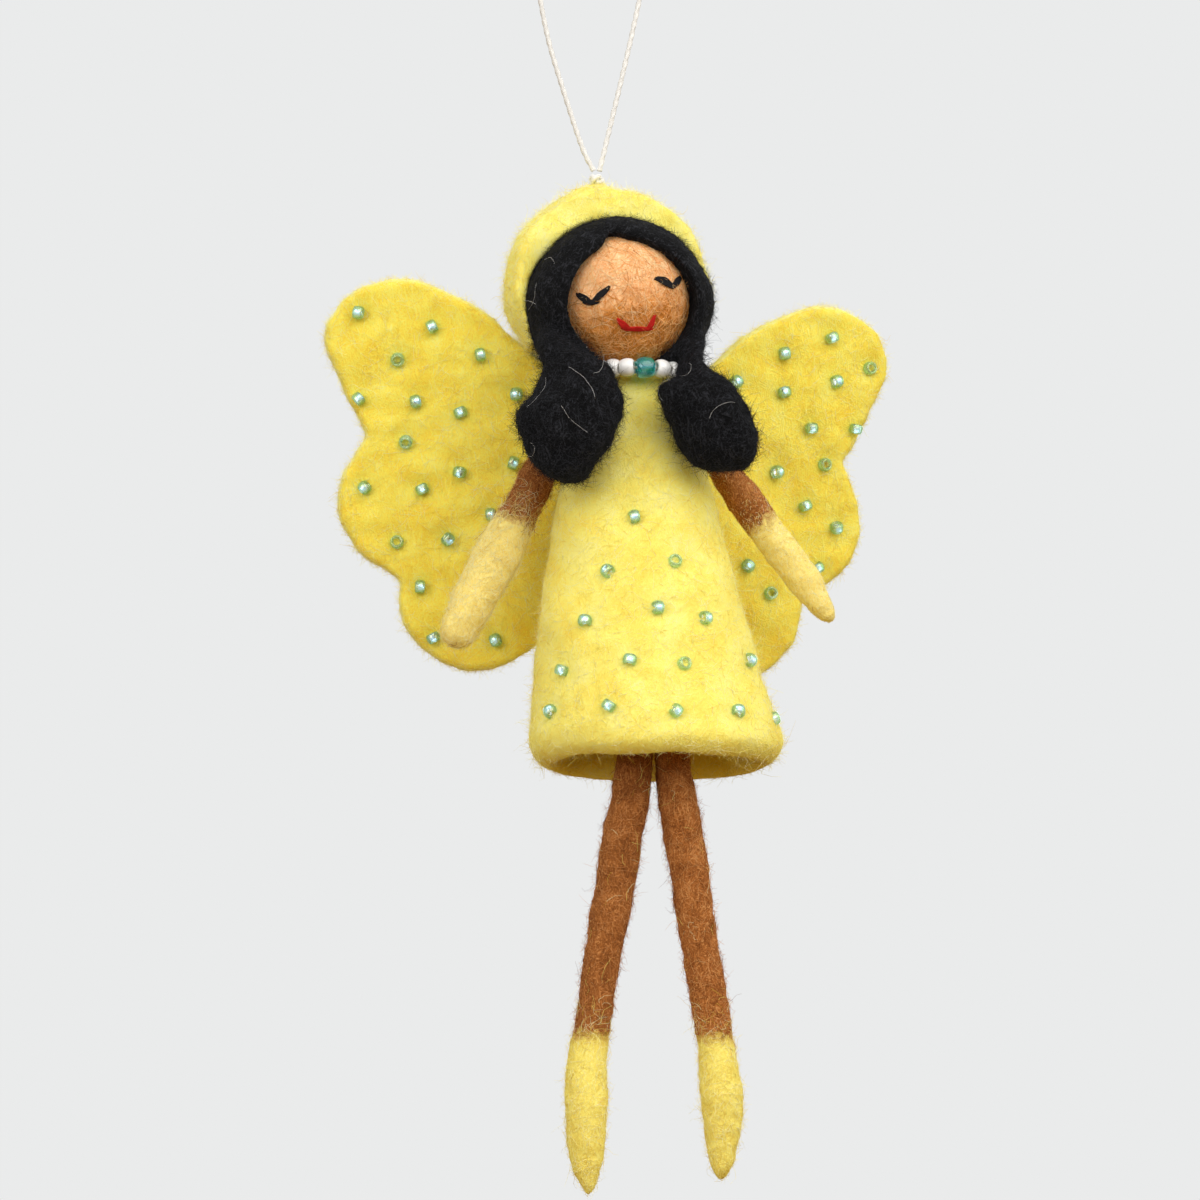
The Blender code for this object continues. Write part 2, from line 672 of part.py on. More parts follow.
def make_arms(doll):
    """Two arms, each turning in its shoulder."""
    for side, pivot in shoulder_pivots().items():
        empty = add_empty("shoulder_" + side, doll, pivot)
        way = -1 if side == "left" else 1
        spread = math.radians(ARM_SPREAD[side])
        path = straight_path((0, 0, 0), (way * math.sin(spread), 0, -math.cos(spread)))
        length = UPPER_ARM + GLOVE_LENGTH[side]
        mean = (SHOULDER_RADIUS + ARM_RADIUS) / 2
        covered = [(0.0, SHOULDER_RADIUS), (UPPER_ARM * 0.35, mean), (UPPER_ARM, ARM_RADIUS)]
        reach = GLOVE_LENGTH[side]
        sleeve = [
            (UPPER_ARM + SEAT, ARM_RADIUS), (UPPER_ARM + reach * 0.3, GLOVE_RADIUS),
            (UPPER_ARM + reach * 0.65, ARM_RADIUS), (length - GLOVE_TIP * 1.6, GLOVE_TIP * 1.25),
            (length - GLOVE_TIP * 0.7, GLOVE_TIP), (length - GLOVE_TIP * 0.2, GLOVE_TIP * 0.55),
        ]
        names = {"wire": "arm_wire_" + side, "wool": "upper_arm_" + side, "sleeve": "glove_" + side}
        make_limb(empty, path, names, UPPER_ARM, length, sleeve, (SHOULDER_RADIUS, covered))


def make_legs(doll):
    """Two legs, each turning in its hip inside the skirt."""
    for side, pivot in hip_pivots().items():
        empty = add_empty("hip_" + side, doll, pivot)
        way = -1 if side == "left" else 1
        splay = math.radians(LEG_SPLAY[side])
        foot = FOOT_LENGTH[side]
        ankle_x = way * SHIN * math.tan(splay)
        ankle_z = -LEG_DROP - SHIN
        points = [
            (0, 0, 0), (0, 0, -LEG_DROP), (ankle_x / 2, 0, (ankle_z - LEG_DROP) / 2),
            (ankle_x, 0, ankle_z),
            (ankle_x + way * FOOT_BOW, -TOE_FORWARD * 0.6, ankle_z - foot * 0.45),
            (ankle_x + way * FOOT_BOW * 0.6, -TOE_FORWARD, ankle_z - foot),
        ]
        path, marks = bent_path(points)
        seam = marks[3]
        length = marks[-1]
        covered = [
            (0.0, HIP_RADIUS), (LEG_DROP, HIP_RADIUS), (LEG_DROP + SHIN * 0.2, LEG_RADIUS),
            (LEG_DROP + SHIN * 0.4, LEG_RADIUS), (LEG_DROP + SHIN * 0.7, ANKLE_RADIUS),
            (seam, ANKLE_RADIUS),
        ]
        sleeve = [
            (seam + SEAT, ANKLE_RADIUS), (seam + foot * 0.2, SHOE_RADIUS * 0.96),
            (seam + foot * 0.45, SHOE_RADIUS), (seam + foot * 0.68, SHOE_RADIUS * 0.86),
            (seam + foot * 0.86, SHOE_RADIUS * 0.55), (seam + foot * 0.96, SHOE_RADIUS * 0.25),
        ]
        names = {"wire": "leg_wire_" + side, "wool": "leg_" + side, "sleeve": "shoe_" + side}
        make_limb(empty, path, names, seam, length, sleeve, (HIP_RADIUS, covered))


def make_necklace(doll):
    """Bead necklace on a thread round the foot of the head."""
    count = 32
    ring = []
    for i in range(count):
        turn = 2 * math.pi * i / count
        ring.append((NECKLACE_RADIUS * math.sin(turn), -NECKLACE_RADIUS * math.cos(turn), COLLAR_Z))
    finish(tube("necklace_thread", doll, ring, NECKLACE_THREAD, 0, True), "cotton")
    hole = NECKLACE_THREAD + SEAT
    centre = (CENTRE_BEAD_RADIUS, CENTRE_BEAD_LENGTH, hole)
    place_on_ring("necklace_centre_bead", doll, 0.0, centre, "teal_bead")
    white = (WHITE_BEAD_RADIUS, WHITE_BEAD_LENGTH, hole)
    pitch = WHITE_BEAD_LENGTH + SEAT
    for i in range(NECKLACE_BEADS_A_SIDE):
        along = CENTRE_BEAD_LENGTH / 2 + SEAT + WHITE_BEAD_LENGTH / 2 + pitch * i
        for way, side in ((-1, "left"), (1, "right")):
            name = "necklace_bead_%s_%d" % (side, i + 1)
            turn = way * along / (NECKLACE_RADIUS - WHITE_BEAD_RADIUS * 0.5)
            place_on_ring(name, doll, turn, white, "white_bead")


def place_on_ring(name, doll, turn, sizes, kind):
    """Thread one bead on the necklace at a turn from the front.

    sizes are the bead's radius, length and hole radius.
    """
    centre = (NECKLACE_RADIUS * math.sin(turn), -NECKLACE_RADIUS * math.cos(turn), COLLAR_Z)
    axis = (math.cos(turn), math.sin(turn), 0.0)
    finish(bead(name, doll, centre, axis, *sizes, 10), kind)


def make_dress_beads(doll):
    """Seed beads sewn on the dress, by turns flat and on edge."""
    for i, (angle, drop) in enumerate(DRESS_BEADS):
        point, out = dress_surface(angle, drop)
        flat = i % 2 == 0
        rise = SEED_LENGTH / 2 if flat else SEED_RADIUS
        axis = out if flat else out.orthogonal()
        centre = point + out * (rise + SEAT)
        name = "dress_bead_%02d" % (i + 1)
        finish(bead(name, doll, centre, axis, SEED_RADIUS, SEED_LENGTH, SEED_HOLE), "aqua_bead")


def wing_seat():
    """Lean of the dress's back and the depth at which the spine strip lies on it."""
    top = WING_DROP - SPINE_HEIGHT / 2
    low = WING_DROP + SPINE_HEIGHT / 2
    depth_top = dress_half(top) * DRESS_DEPTH
    depth_low = dress_half(low) * DRESS_DEPTH
    lean = math.atan2(depth_low - depth_top, SPINE_HEIGHT)
    bulge = 0.0
    for i in range(9):
        share = i / 8
        line = depth_top + (depth_low - depth_top) * share
        bulge = max(bulge, dress_half(top + SPINE_HEIGHT * share) * DRESS_DEPTH - line)
    middle = (depth_top + depth_low) / 2 + bulge
    return lean, middle + (SEAT + WING_THICKNESS / 2) / math.cos(lean)


def make_wings(doll):
    """Spine strip sewn to the dress's back and a wing hinged on each of its edges."""
    lean, depth = wing_seat()
    tilt = Matrix.Rotation(lean, 3, "X")
    spine_frame = add_empty("spine_frame", doll, (0.0, depth, WING_Z), tilt)
    strip = 2 * (HINGE_HALF - WING_THICKNESS / 2 - SEAT)
    spine = block("wing_spine", spine_frame, (0, 0, 0), (strip, WING_THICKNESS, SPINE_HEIGHT))
    finish(spine, "yellow_felt")
    back = WING_THICKNESS / 2 + SEAT + STITCH_RADIUS
    span = strip * 0.35
    for name, way in (("wing_stitch_upper", 1), ("wing_stitch_lower", -1)):
        up = way * SPINE_HEIGHT / 4
        ends = [(-span, back, up), (0.0, back, up + STITCH_RADIUS), (span, back, up)]
        finish(tube(name, spine_frame, ends, STITCH_RADIUS, 1), "cotton")

    for side, way in (("left", -1), ("right", 1)):
        sweep = Matrix.Rotation(math.radians(way * WING_SWEEP[side]), 3, "Z")
        hinge = tilt @ Vector((way * HINGE_HALF, 0.0, 0.0)) + Vector((0.0, depth, WING_Z))
        empty = add_empty("hinge_" + side, doll, hinge, tilt @ sweep)
        make_wing(side, way, empty)


def make_wing(side, way, empty):
    """One felt wing with its seed beads sewn into its front."""
    leaf = wing_curve("wing_outline_" + side, way, math.radians(WING_DROOP[side]))
    source = add_object("wing_outline_" + side, leaf, None)
    bpy.context.view_layer.update()
    drawn = source.evaluated_get(bpy.context.evaluated_depsgraph_get())
    mesh = bpy.data.meshes.new_from_object(drawn)
    bpy.data.objects.remove(source, do_unlink=True)
    bm = bmesh.new()
    bm.from_mesh(mesh)
    bpy.data.meshes.remove(mesh)
    bmesh.ops.remove_doubles(bm, verts=bm.verts[:], dist=0.001)
    bmesh.ops.rotate(bm, matrix=Matrix.Rotation(math.radians(90), 3, "X"), verts=bm.verts[:])
    wing = finish(mesh_object("wing_" + side, bm, empty), "yellow_felt")

    sewn = bmesh.new()
    front = -WING_THICKNESS / 2
    for i, (out, up) in enumerate(WING_BEADS[side]):
        flat = i % 2 == 0
        rise = SEED_LENGTH / 2 if flat else SEED_RADIUS
        lay = Matrix.Rotation(math.radians(90), 4, "X" if flat else "Y")
        place = Matrix.Translation((way * out, front - rise + SEED_SUNK, up)) @ lay
        scale = Matrix.Diagonal((SEED_RADIUS, SEED_RADIUS, SEED_LENGTH / 2, 1.0))
        bmesh.ops.create_uvsphere(sewn, u_segments=7, v_segments=4, radius=1.0, matrix=place @ scale)
    combine(wing, as_tool(mesh_object("sewn_beads_" + side, sewn, empty)), "UNION")
    wing.modifiers.new("Even shading", "WEIGHTED_NORMAL").keep_sharp = True


def wing_curve(name, way, droop):
    """Flat outline of a wing in millimetres, thickened with round edges."""
    curve = bpy.data.curves.new(name, "CURVE")
    curve.dimensions = "2D"
    curve.fill_mode = "BOTH"
    curve.resolution_u = 3
    curve.bevel_depth = WING_THICKNESS / 2
    curve.bevel_resolution = 1
    curve.offset = -WING_THICKNESS / 2
    root = -WING_THICKNESS / 2
    half = SPINE_HEIGHT / 2
    outline = [(root, half, True)] + WING_OUTLINE + [(root, -half, True)]
    spline = curve.splines.new("BEZIER")
    spline.bezier_points.add(len(outline) - 1)
    spline.use_cyclic_u = True
    turn = Matrix.Rotation(-way * droop, 2)
    for point, (out, up, sharp) in zip(spline.bezier_points, outline):
        flat = Vector((way * out, up))
        spot = turn @ flat if out > 0 else flat
        point.co = (*spot, 0.0)
        kind = "VECTOR" if sharp else "AUTO"
        point.handle_left_type = kind
        point.handle_right_type = kind
    return curve


def main():
    clear_scene()
    doll = add_empty("doll", None, (-KNOT_X - LOOP_TOP_X, -KNOT_Y, 0.0))
    make_loop(doll)
    make_head(doll)
    make_dress(doll)
    make_necklace(doll)
    make_dress_beads(doll)
    make_arms(doll)
    make_legs(doll)
    make_wings(doll)


main()
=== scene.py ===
"""Looks of the felt fairy doll: needle-felted wool with its loose fibres, sewn glass beads, a bead
necklace and a cotton hanging loop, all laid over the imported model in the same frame."""

import json
import math
import random
from collections import namedtuple

import bmesh
import bpy
import numpy as np
from mathutils import Matrix, Quaternion, Vector, noise
from mathutils.bvhtree import BVHTree


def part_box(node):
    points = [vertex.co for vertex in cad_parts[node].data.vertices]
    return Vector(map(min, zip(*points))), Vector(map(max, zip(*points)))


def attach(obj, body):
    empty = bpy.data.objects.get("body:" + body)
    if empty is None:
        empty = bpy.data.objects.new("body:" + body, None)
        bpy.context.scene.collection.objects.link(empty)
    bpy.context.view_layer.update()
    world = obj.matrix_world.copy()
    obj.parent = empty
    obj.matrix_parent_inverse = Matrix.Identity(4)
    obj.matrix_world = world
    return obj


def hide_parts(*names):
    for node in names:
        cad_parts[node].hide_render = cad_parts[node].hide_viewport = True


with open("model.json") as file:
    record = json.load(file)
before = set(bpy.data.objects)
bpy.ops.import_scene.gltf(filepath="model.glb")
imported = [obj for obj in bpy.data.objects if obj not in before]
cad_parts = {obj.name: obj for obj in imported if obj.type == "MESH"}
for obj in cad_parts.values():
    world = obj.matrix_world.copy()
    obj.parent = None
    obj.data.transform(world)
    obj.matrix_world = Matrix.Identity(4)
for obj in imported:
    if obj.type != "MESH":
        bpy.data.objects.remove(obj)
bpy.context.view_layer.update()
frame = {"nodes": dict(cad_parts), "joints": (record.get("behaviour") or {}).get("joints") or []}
NODES = frame["nodes"]
JOINTS = {joint["name"]: joint for joint in frame["joints"]}

# Sizes are in millimetres and angles in degrees. MM turns them into metres.
MM = 0.001
WELD = 0.00001
UP = Vector((0.0, 0.0, 1.0))
FRONT = Vector((0.0, -1.0, 0.0))
SIDES = {"left": -1, "right": 1}

# The photograph's camera.
AZIMUTH = -12.0
ELEVATION = -8.0
DISTANCE = 750.0
TARGET = (-1.1, -4.0, -110.7)
VIEW_WIDTH = 180.0

# The studio: the floor below the hanging object, and the pale background.
FLOOR_Z = -330.0
FLOOR_RADIUS = 6000.0
BACKGROUND = "#EAEBEB"

# Light from all round, and softboxes: place and width in metres, and power in watts.
ROOM_LIGHT = "#FFF5E4"
ROOM_STRENGTH = 0.52
SOFTBOXES = {
    "key_softbox": ((0.2, -0.84, 0.45), 1.2, 7.3),
    "fill_softbox": ((-0.75, -0.65, 0.1), 0.8, 4.4),
    "side_softbox": ((0.85, -0.35, 0.15), 0.9, 2.6),
    "back_softbox": ((0.15, 0.9, 0.3), 1.2, 7.0),
}

# The head's lean, as the part has it.
HEAD_ROLL = 10.6
HEAD_YAW = 4.0

# Half the felt's thickness in a wing, the height and width of its slow wave, and how far from the hinge
# that is full.
WING_HALF = 1.2
WING_WAVE = 0.7
WAVE_WIDTH = 17.0
WAVE_FULL = 12.0

# How far and how wide a sewn bead pulls the felt in, and how deep it sits in a wing and in the dress.
DIMPLE_DEPTH = 0.55
DIMPLE_WIDTH = 1.7
WING_SINK = DIMPLE_DEPTH + 0.25
DRESS_SINK = 0.65

# Height of the curve in which the hem's lip turns under, how much lower the hem hangs behind, and how
# high up the dress that begins.
HEM_TURN = 3.8
HEM_SAG = 1.6
HEM_HEIGHT = 26.0

# Height of the hem's lip, and the number of sectors in which it is measured.
HEM_LIP = 9.0
HEM_SECTORS = 60

# Seed beads: radius, length and hole radius. Necklace beads are larger.
SEED = (1.08, 1.5, 0.5)
WHITE_BEAD = (1.43, 2.25, 0.28)
CENTRE_BEAD = (1.65, 2.8, 0.3)

# Bead places on each wing, from the hinge outward and up. They lie within 2 of the part's own.
WING_BEADS = {
    "left": [
        (37.7, 28.6), (26.4, 26.9), (31.5, 21.7), (18.9, 22.9), (37.2, 15.5), (28.5, 15.4),
        (21.6, 14.0), (13.2, 17.1), (29.8, 9.2), (21.4, 4.9), (35.8, 2.0), (27.0, 2.1),
        (13.3, 6.6), (16.4, -1.4), (30.6, -6.1), (22.8, -5.4), (26.8, -12.8), (24.5, -20.5),
        (15.0, -20.5),
    ],
    "right": [
        (24.4, 25.0), (32.8, 27.8), (40.2, 23.3), (33.9, 21.0), (24.5, 19.0), (15.8, 20.3),
        (29.6, 13.6), (37.8, 13.7), (32.5, 8.0), (23.9, 6.6), (29.3, 1.5), (34.9, -1.8),
        (19.0, -8.0), (31.7, -8.1), (23.5, -12.2),
    ],
}
DRESS_BEADS = ["dress_bead_%02d" % (i + 1) for i in range(15)]

# Face stitches on the head ball, each from place to place: right and up from the middle of the face.
FACE_STITCHES = {
    "eye_left_stitches": [
        ((-8.0, 0.8), (-7.0, -0.5)), ((-7.6, -0.4), (-6.1, -0.8)), ((-6.7, -0.7), (-4.4, 0.8)),
    ],
    "eye_right_stitches": [((3.0, 1.1), (5.3, -0.1)), ((5.5, 0.0), (7.4, 1.3))],
    "mouth_stitches": [
        ((-3.6, -3.9), (-2.2, -5.3)), ((-2.8, -5.3), (1.0, -5.8)), ((0.7, -5.7), (1.8, -4.3)),
    ],
}

# Edge of the hair round the face, in the head's own frame: angle from the head's right side and distance
# from the middle of the face. It dips at the parting, and the part's own opening is round.
FACE_OPENING = 9.35
FACE_EDGE = [
    (-40.0, 10.4), (-10.0, 9.8), (6.0, 8.9), (25.0, 8.7), (50.0, 8.3), (82.0, 9.0), (99.0, 10.7),
    (116.0, 9.2), (149.0, 9.4), (165.0, 10.0), (190.0, 10.8), (220.0, 11.0), (270.0, 10.6), (320.0, 10.4),
]

# Strands in one stitch of an eye and of the mouth, how thick they are, how far they spread right and up,
# and how high a stitch lies at its ends and rises in its middle.
EYE_STRANDS = 24
MOUTH_STRANDS = 15
STRAND = 0.24
STRAND_SPREAD = (0.17, 0.24)
STITCH_BED = 0.1
STITCH_RISE = 0.22

# How much thinner the hair lies over the crown than in the part, and how far the dress rises to the head.
HAIR_THIN = 0.9
NECK_RISE = 0.7

# The hood's rise to the knot and how wide it is, and how much lower than in the part the hood's top lies.
HOOD_PEAK = 1.1
PEAK_WIDTH = 3.2
HOOD_DROP = 0.6

# How far from the shoulder the glove's dye begins, and how much fuller a glove or shoe is than in the
# part, at its seam and at its tip.
GLOVE_SEAM = 13.5
GLOVE_PLUMP = {"left": (0.35, 0.35), "right": (-0.3, -0.6)}
SHOE_PLUMP = (0.1, 0.1)

# How far from the middle of the face the hair ends below the cheeks, where its lip is rounded off.
FACE_END = Vector((2.5, 13.0))

# How far the bunches' tops are drawn in, and for each the heights between which they are, and the
# share of it that the outer side takes.
GATHER_IN = 2.4
GATHER = {"left": (-88.0, -78.5, 0.4), "right": (-87.0, -78.5, 0.2)}

# Where the bunches are drawn in or pulled out, seen from the front: right and up, how far round
# that the pull reaches, and how far right and up the wool moves.
BUNCH_PULLS = [
    (1.3, -80.1, 4.0, -1.7, 0.0), (-1.5, -92.5, 5.0, -1.1, 0.4), (-14.3, -78.1, 4.0, 1.9, 0.0),
    (-14.7, -85.5, 5.0, -0.6, 0.0), (-9.5, -94.8, 4.0, -0.3, -0.6), (14.7, -75.3, 4.0, -1.9, 0.0),
    (19.0, -80.5, 5.0, -1.4, 0.0), (21.3, -86.0, 4.0, -1.0, 0.0), (14.7, -93.4, 4.0, 0.0, 0.7),
    (8.3, -85.3, 4.0, -1.2, 0.0), (7.8, -77.6, 3.0, 0.9, -1.5),
]

# The hanging loop's route as the part has it: right of the loop's top and up from it, from the crown
# round the top and back to the crown.
LOOP_ROUTE = [
    (-0.35, -44.0), (0.5, -40.5), (2.4, -32.5), (4.5, -23.5), (6.4, -14.5), (7.2, -9.0),
    (6.4, -4.6), (3.8, -1.3), (0.0, 0.0), (-4.0, -0.9), (-7.8, -4.2), (-9.7, -9.0),
    (-10.0, -14.5), (-8.4, -23.5), (-5.7, -32.5), (-3.0, -40.5), (-1.25, -44.0),
]
LOOP_CORD = 0.8

# Two plies make the cord wider one way than the other: half of both widths as shares of the cord, and
# the length in which the wide way makes half a turn.
LOOP_OVAL = (0.53, 0.42)
LOOP_TURN = 1.6

# The knot is a trefoil: its mean reach, how much that changes, and how far it winds up and down.
KNOT_REACH = 0.62
KNOT_SWING = 0.3
KNOT_HEIGHT = 0.45

# Wool dyes as pale, main and deep tones, and tones of painted light and shade where marked.
YELLOW = ("#FFF9A2", "#FEF37A", "#F8DE56")
WING_YELLOW = ("#FFFA8C", "#FFEE5C", "#F7D642")
# Painted light: paler tones for the wings' rims, where the felt turns away from the front.
WING_RIM_PAINTED_LIGHT = ("#FFFEC0", "#FFFA9C", "#FCEC7C")
HOOD_YELLOW = ("#FFFBA8", "#FEF47E", "#F8E058")
GLOVE_YELLOW = ("#FFF6AE", "#FFED90", "#F3D972")
SHOE_YELLOW = ("#FEF6A0", "#F6E876", "#E6CC5A")
TAN = ("#FFE6C0", "#FFCE98", "#E8A062")
# Painted shade: a deeper tan for the lower face.
TAN_PAINTED_SHADE = ("#FBBC6C", "#DE9140", "#A35F20")
BROWN = ("#E4AC6E", "#B37038", "#76421B")
# A deeper brown, for the left arm and leg.
DEEP_BROWN = ("#D89B60", "#A56632", "#6E3E1A")
BLACK = ("#2E2F34", "#0E0E10", "#050506")
YELLOW_FIBRE = ("#FFFECC", "#FFF78C", "#F0D24C")
WING_FIBRE = ("#FFFEC8", "#FFF584", "#F0D04A")
HOOD_FIBRE = ("#FFFFD0", "#FFF894", "#F0D250")
GLOVE_FIBRE = ("#FFFDD6", "#FFF2A0", "#EACD66")
SHOE_FIBRE = ("#FFFCC6", "#FCEE82", "#E2C44C")
FACE_FIBRE = ("#FFE6B6", "#FFCC8C", "#E8A25C")
# Painted shade: browner fibres for the lower face.
CHIN_PAINTED_SHADE_FIBRE = ("#FFD08A", "#E89E48", "#B06A24")
STRAY = ("#FFFFFF", "#FAF8F4", "#DEDAD3")
RAW = ("#F2EBDD", "#DDD2BC", "#BFB193")

# How a coat of loose fibres lies: number, length, how far the ends lift off, turn at each step in
# radians, thickness and number of steps. Wool fibre is about 0.03 thick and is drawn coarser to show.
Coat = namedtuple("Coat", "count length lift curl thick steps")
QUICK_SHARE = 1.0
ROOT_DEPTH = 0.12
BED_HEIGHT = 0.05

# Numbers of a dye's tones to draw from, so that fibres are mostly pale and main, and seldom deep.
TONES = (0, 0, 0, 1, 1, 1, 2)

# Body and slot of each finished piece, which its loose fibres share.
HOMES = {}


def linear(code):
    """Linear colour with alpha from an sRGB hex code."""
    parts = [int(code[i:i + 2], 16) / 255 for i in (1, 3, 5)]
    return (*[c / 12.92 if c <= 0.04045 else ((c + 0.055) / 1.055) ** 2.4 for c in parts], 1.0)


def add_node(tree, kind, inputs=None, **settings):
    """Add a node with its settings, and fill or link its inputs. A node is linked by its first output."""
    made = tree.nodes.new("ShaderNode" + kind)
    for name, value in settings.items():
        setattr(made, name, value)
    for socket, value in (inputs or {}).items():
        if isinstance(value, bpy.types.Node):
            value = value.outputs[0]
        if isinstance(value, bpy.types.NodeSocket):
            tree.links.new(value, made.inputs[socket])
        else:
            made.inputs[socket].default_value = value
    return made


def new_material(name, **sockets):
    """Principled material with constants on its own sockets, its tree and its shader."""
    material = bpy.data.materials.new(name)
    material.use_nodes = True
    shader = material.node_tree.nodes["Principled BSDF"]
    for socket, value in sockets.items():
        shader.inputs[socket.replace("_", " ")].default_value = value
    return material, material.node_tree, shader


def per_metre(size):
    """Scale of a pattern whose features are size millimetres wide."""
    return 1 / (size * MM)


def tone_ramp(tree, factor, tones, spread):
    """Colour ramp from a dye's deep tone through its main one to its pale one. A narrow spread gives
    more contrast."""
    ramp = add_node(tree, "ValToRGB", {"Fac": factor})
    stops = ramp.color_ramp.elements
    pale, main, deep = tones
    stops[0].position = 0.46 - spread
    stops[0].color = linear(deep)
    stops[1].position = 0.47 + spread
    stops[1].color = linear(pale)
    stops.new(0.46).color = linear(main)
    return ramp.outputs["Color"]


def crossing_fibres(tree, place, length, width):
    """Factor that is high along fibres: noise drawn out long and thin at three angles and swayed."""
    sway = add_node(tree, "TexNoise", {"Vector": place, "Scale": per_metre(3.0), "Detail": 1.0})
    swayed = add_node(
        tree, "VectorMath", {0: sway.outputs["Color"], 1: (1.4 * MM,) * 3, 2: place},
        operation="MULTIPLY_ADD",
    )
    lines = None
    for turn in (15, 75, 135):
        laid = add_node(
            tree, "Mapping",
            {"Vector": swayed, "Rotation": (0.4, math.radians(turn), 0.6),
             "Scale": (length * MM, width * MM, width * MM)},
            vector_type="TEXTURE",
        )
        strand = add_node(tree, "TexNoise", {"Vector": laid, "Scale": 1.0, "Detail": 1.0})
        if lines:
            strand = add_node(tree, "Math", {0: lines, 1: strand}, operation="MAXIMUM")
        lines = strand
    return add_node(tree, "MapRange", {"Value": lines, "From Min": 0.5, "From Max": 0.82})


def needle_felt(
    name, tones, other=None, mottle=4.5, fibre=0.2, depth=0.14, grain=0.25, sheen=0.35, spread=0.25
):
    """Needle-felted wool: matt, with fine fibres in all directions and softly mottled where tufts of
    unlike shade were needled in. other is a second set of tones, which the dye attribute mixes in: a
    second dye on the limbs, painted light on the wings' rims and painted shade low on the face."""
    material, tree, shader = new_material(
        name, Roughness=0.95, Specular_IOR_Level=0.15, Sheen_Weight=sheen, Sheen_Roughness=0.6,
        Sheen_Tint=linear(tones[0]),
    )
    place = add_node(tree, "TexCoord").outputs["Object"]
    tufts = add_node(tree, "TexNoise", {"Vector": place, "Scale": per_metre(mottle), "Detail": 3.0})
    strands = crossing_fibres(tree, place, fibre * 14, fibre)
    mixed = add_node(tree, "Mix", {0: grain, 2: tufts, 3: strands}, data_type="FLOAT")
    shade = tone_ramp(tree, mixed, tones, spread)
    if other:
        dye = add_node(tree, "Attribute", attribute_name="dye")
        blotch = add_node(
            tree, "TexNoise", {"Vector": place, "Scale": per_metre(1.6), "Detail": 4.0, "Distortion": 1.0}
        )
        edge = add_node(tree, "Math", {0: dye.outputs["Fac"], 1: blotch}, operation="ADD")
        share = add_node(tree, "MapRange", {"Value": edge, "From Min": 0.75, "From Max": 1.25})
        second = tone_ramp(tree, mixed, other, spread)
        shade = add_node(tree, "Mix", {0: share, 6: shade, 7: second}, data_type="RGBA").outputs[2]
    tree.links.new(shade, shader.inputs["Base Color"])
    lumps = add_node(tree, "Bump", {"Height": tufts, "Strength": 0.2, "Distance": 0.5 * MM})
    pile = add_node(
        tree, "Bump", {"Height": strands, "Strength": 0.5, "Distance": depth * MM, "Normal": lumps}
    )
    tree.links.new(pile.outputs["Normal"], shader.inputs["Normal"])
    return material


def wool_fibres(name, tones):
    """Loose wool fibres in a dye's three tones: matt, and each too thin to show more than its colour."""
    matt = {"Roughness": 0.85, "Specular_IOR_Level": 0.2}
    return [
        new_material("%s_%s" % (name, word), Base_Color=linear(code), **matt)[0]
        for word, code in zip(("pale", "main", "deep"), tones)
    ]


def cotton_thread(name, code, twist=0.9):
    """Spun thread: matt, with plies that catch the light on a slant."""
    material, tree, shader = new_material(name, Roughness=0.8, Specular_IOR_Level=0.2)
    place = add_node(tree, "TexCoord").outputs["Object"]
    plies = add_node(
        tree, "TexNoise", {"Vector": place, "Scale": per_metre(twist), "Detail": 3.0, "Distortion": 0.8}
    )
    pale = linear(code)
    dim = tuple(c * 0.72 for c in pale[:3]) + (1.0,)
    shade = add_node(tree, "Mix", {0: plies, 6: dim, 7: pale}, data_type="RGBA")
    tree.links.new(shade.outputs[2], shader.inputs["Base Color"])
    bump = add_node(tree, "Bump", {"Height": plies, "Strength": 0.6, "Distance": 0.1 * MM})
    tree.links.new(bump.outputs["Normal"], shader.inputs["Normal"])
    return material


def pressed_glass(name, tints, stops, size, detail, ripple=0.0, **sockets):
    """Pressed glass whose colour drifts from one tint to another, with a smooth skin or a rippled one."""
    material, tree, shader = new_material(name, **sockets)
    place = add_node(tree, "TexCoord").outputs["Object"]
    drift = add_node(tree, "TexNoise", {"Vector": place, "Scale": per_metre(size), "Detail": detail})
    ramp = add_node(tree, "ValToRGB", {"Fac": drift})
    for element, stop, code in zip(ramp.color_ramp.elements, stops, tints):
        element.position = stop
        element.color = linear(code)
    tree.links.new(ramp.outputs["Color"], shader.inputs["Base Color"])
    if ripple:
        waves = add_node(tree, "TexNoise", {"Vector": place, "Scale": per_metre(0.6), "Detail": 1.0})
        bump = add_node(tree, "Bump", {"Height": waves, "Strength": ripple, "Distance": 0.15 * MM})
        tree.links.new(bump.outputs["Normal"], shader.inputs["Normal"])
    return material


def mottled_metal(name, code, size, detail, least, most):
    """Bright metal whose roughness varies in spots of the given size."""
    material, tree, shader = new_material(name, Metallic=1.0, Base_Color=linear(code))
    place = add_node(tree, "TexCoord").outputs["Object"]
    spots = add_node(tree, "TexNoise", {"Vector": place, "Scale": per_metre(size), "Detail": detail})
    rough = add_node(tree, "MapRange", {"Value": spots, "To Min": least, "To Max": most})
    tree.links.new(rough.outputs[0], shader.inputs["Roughness"])
    return material


def seen_rays(tree):
    """Factor that is 1 for what the eye sees, straight or by reflection or through glass."""
    path = add_node(tree, "LightPath").outputs
    seen = add_node(tree, "Math", {0: path["Is Camera Ray"], 1: path["Is Glossy Ray"]}, operation="MAXIMUM")
    return add_node(tree, "Math", {0: seen, 1: path["Is Transmission Ray"]}, operation="MAXIMUM").outputs[0]


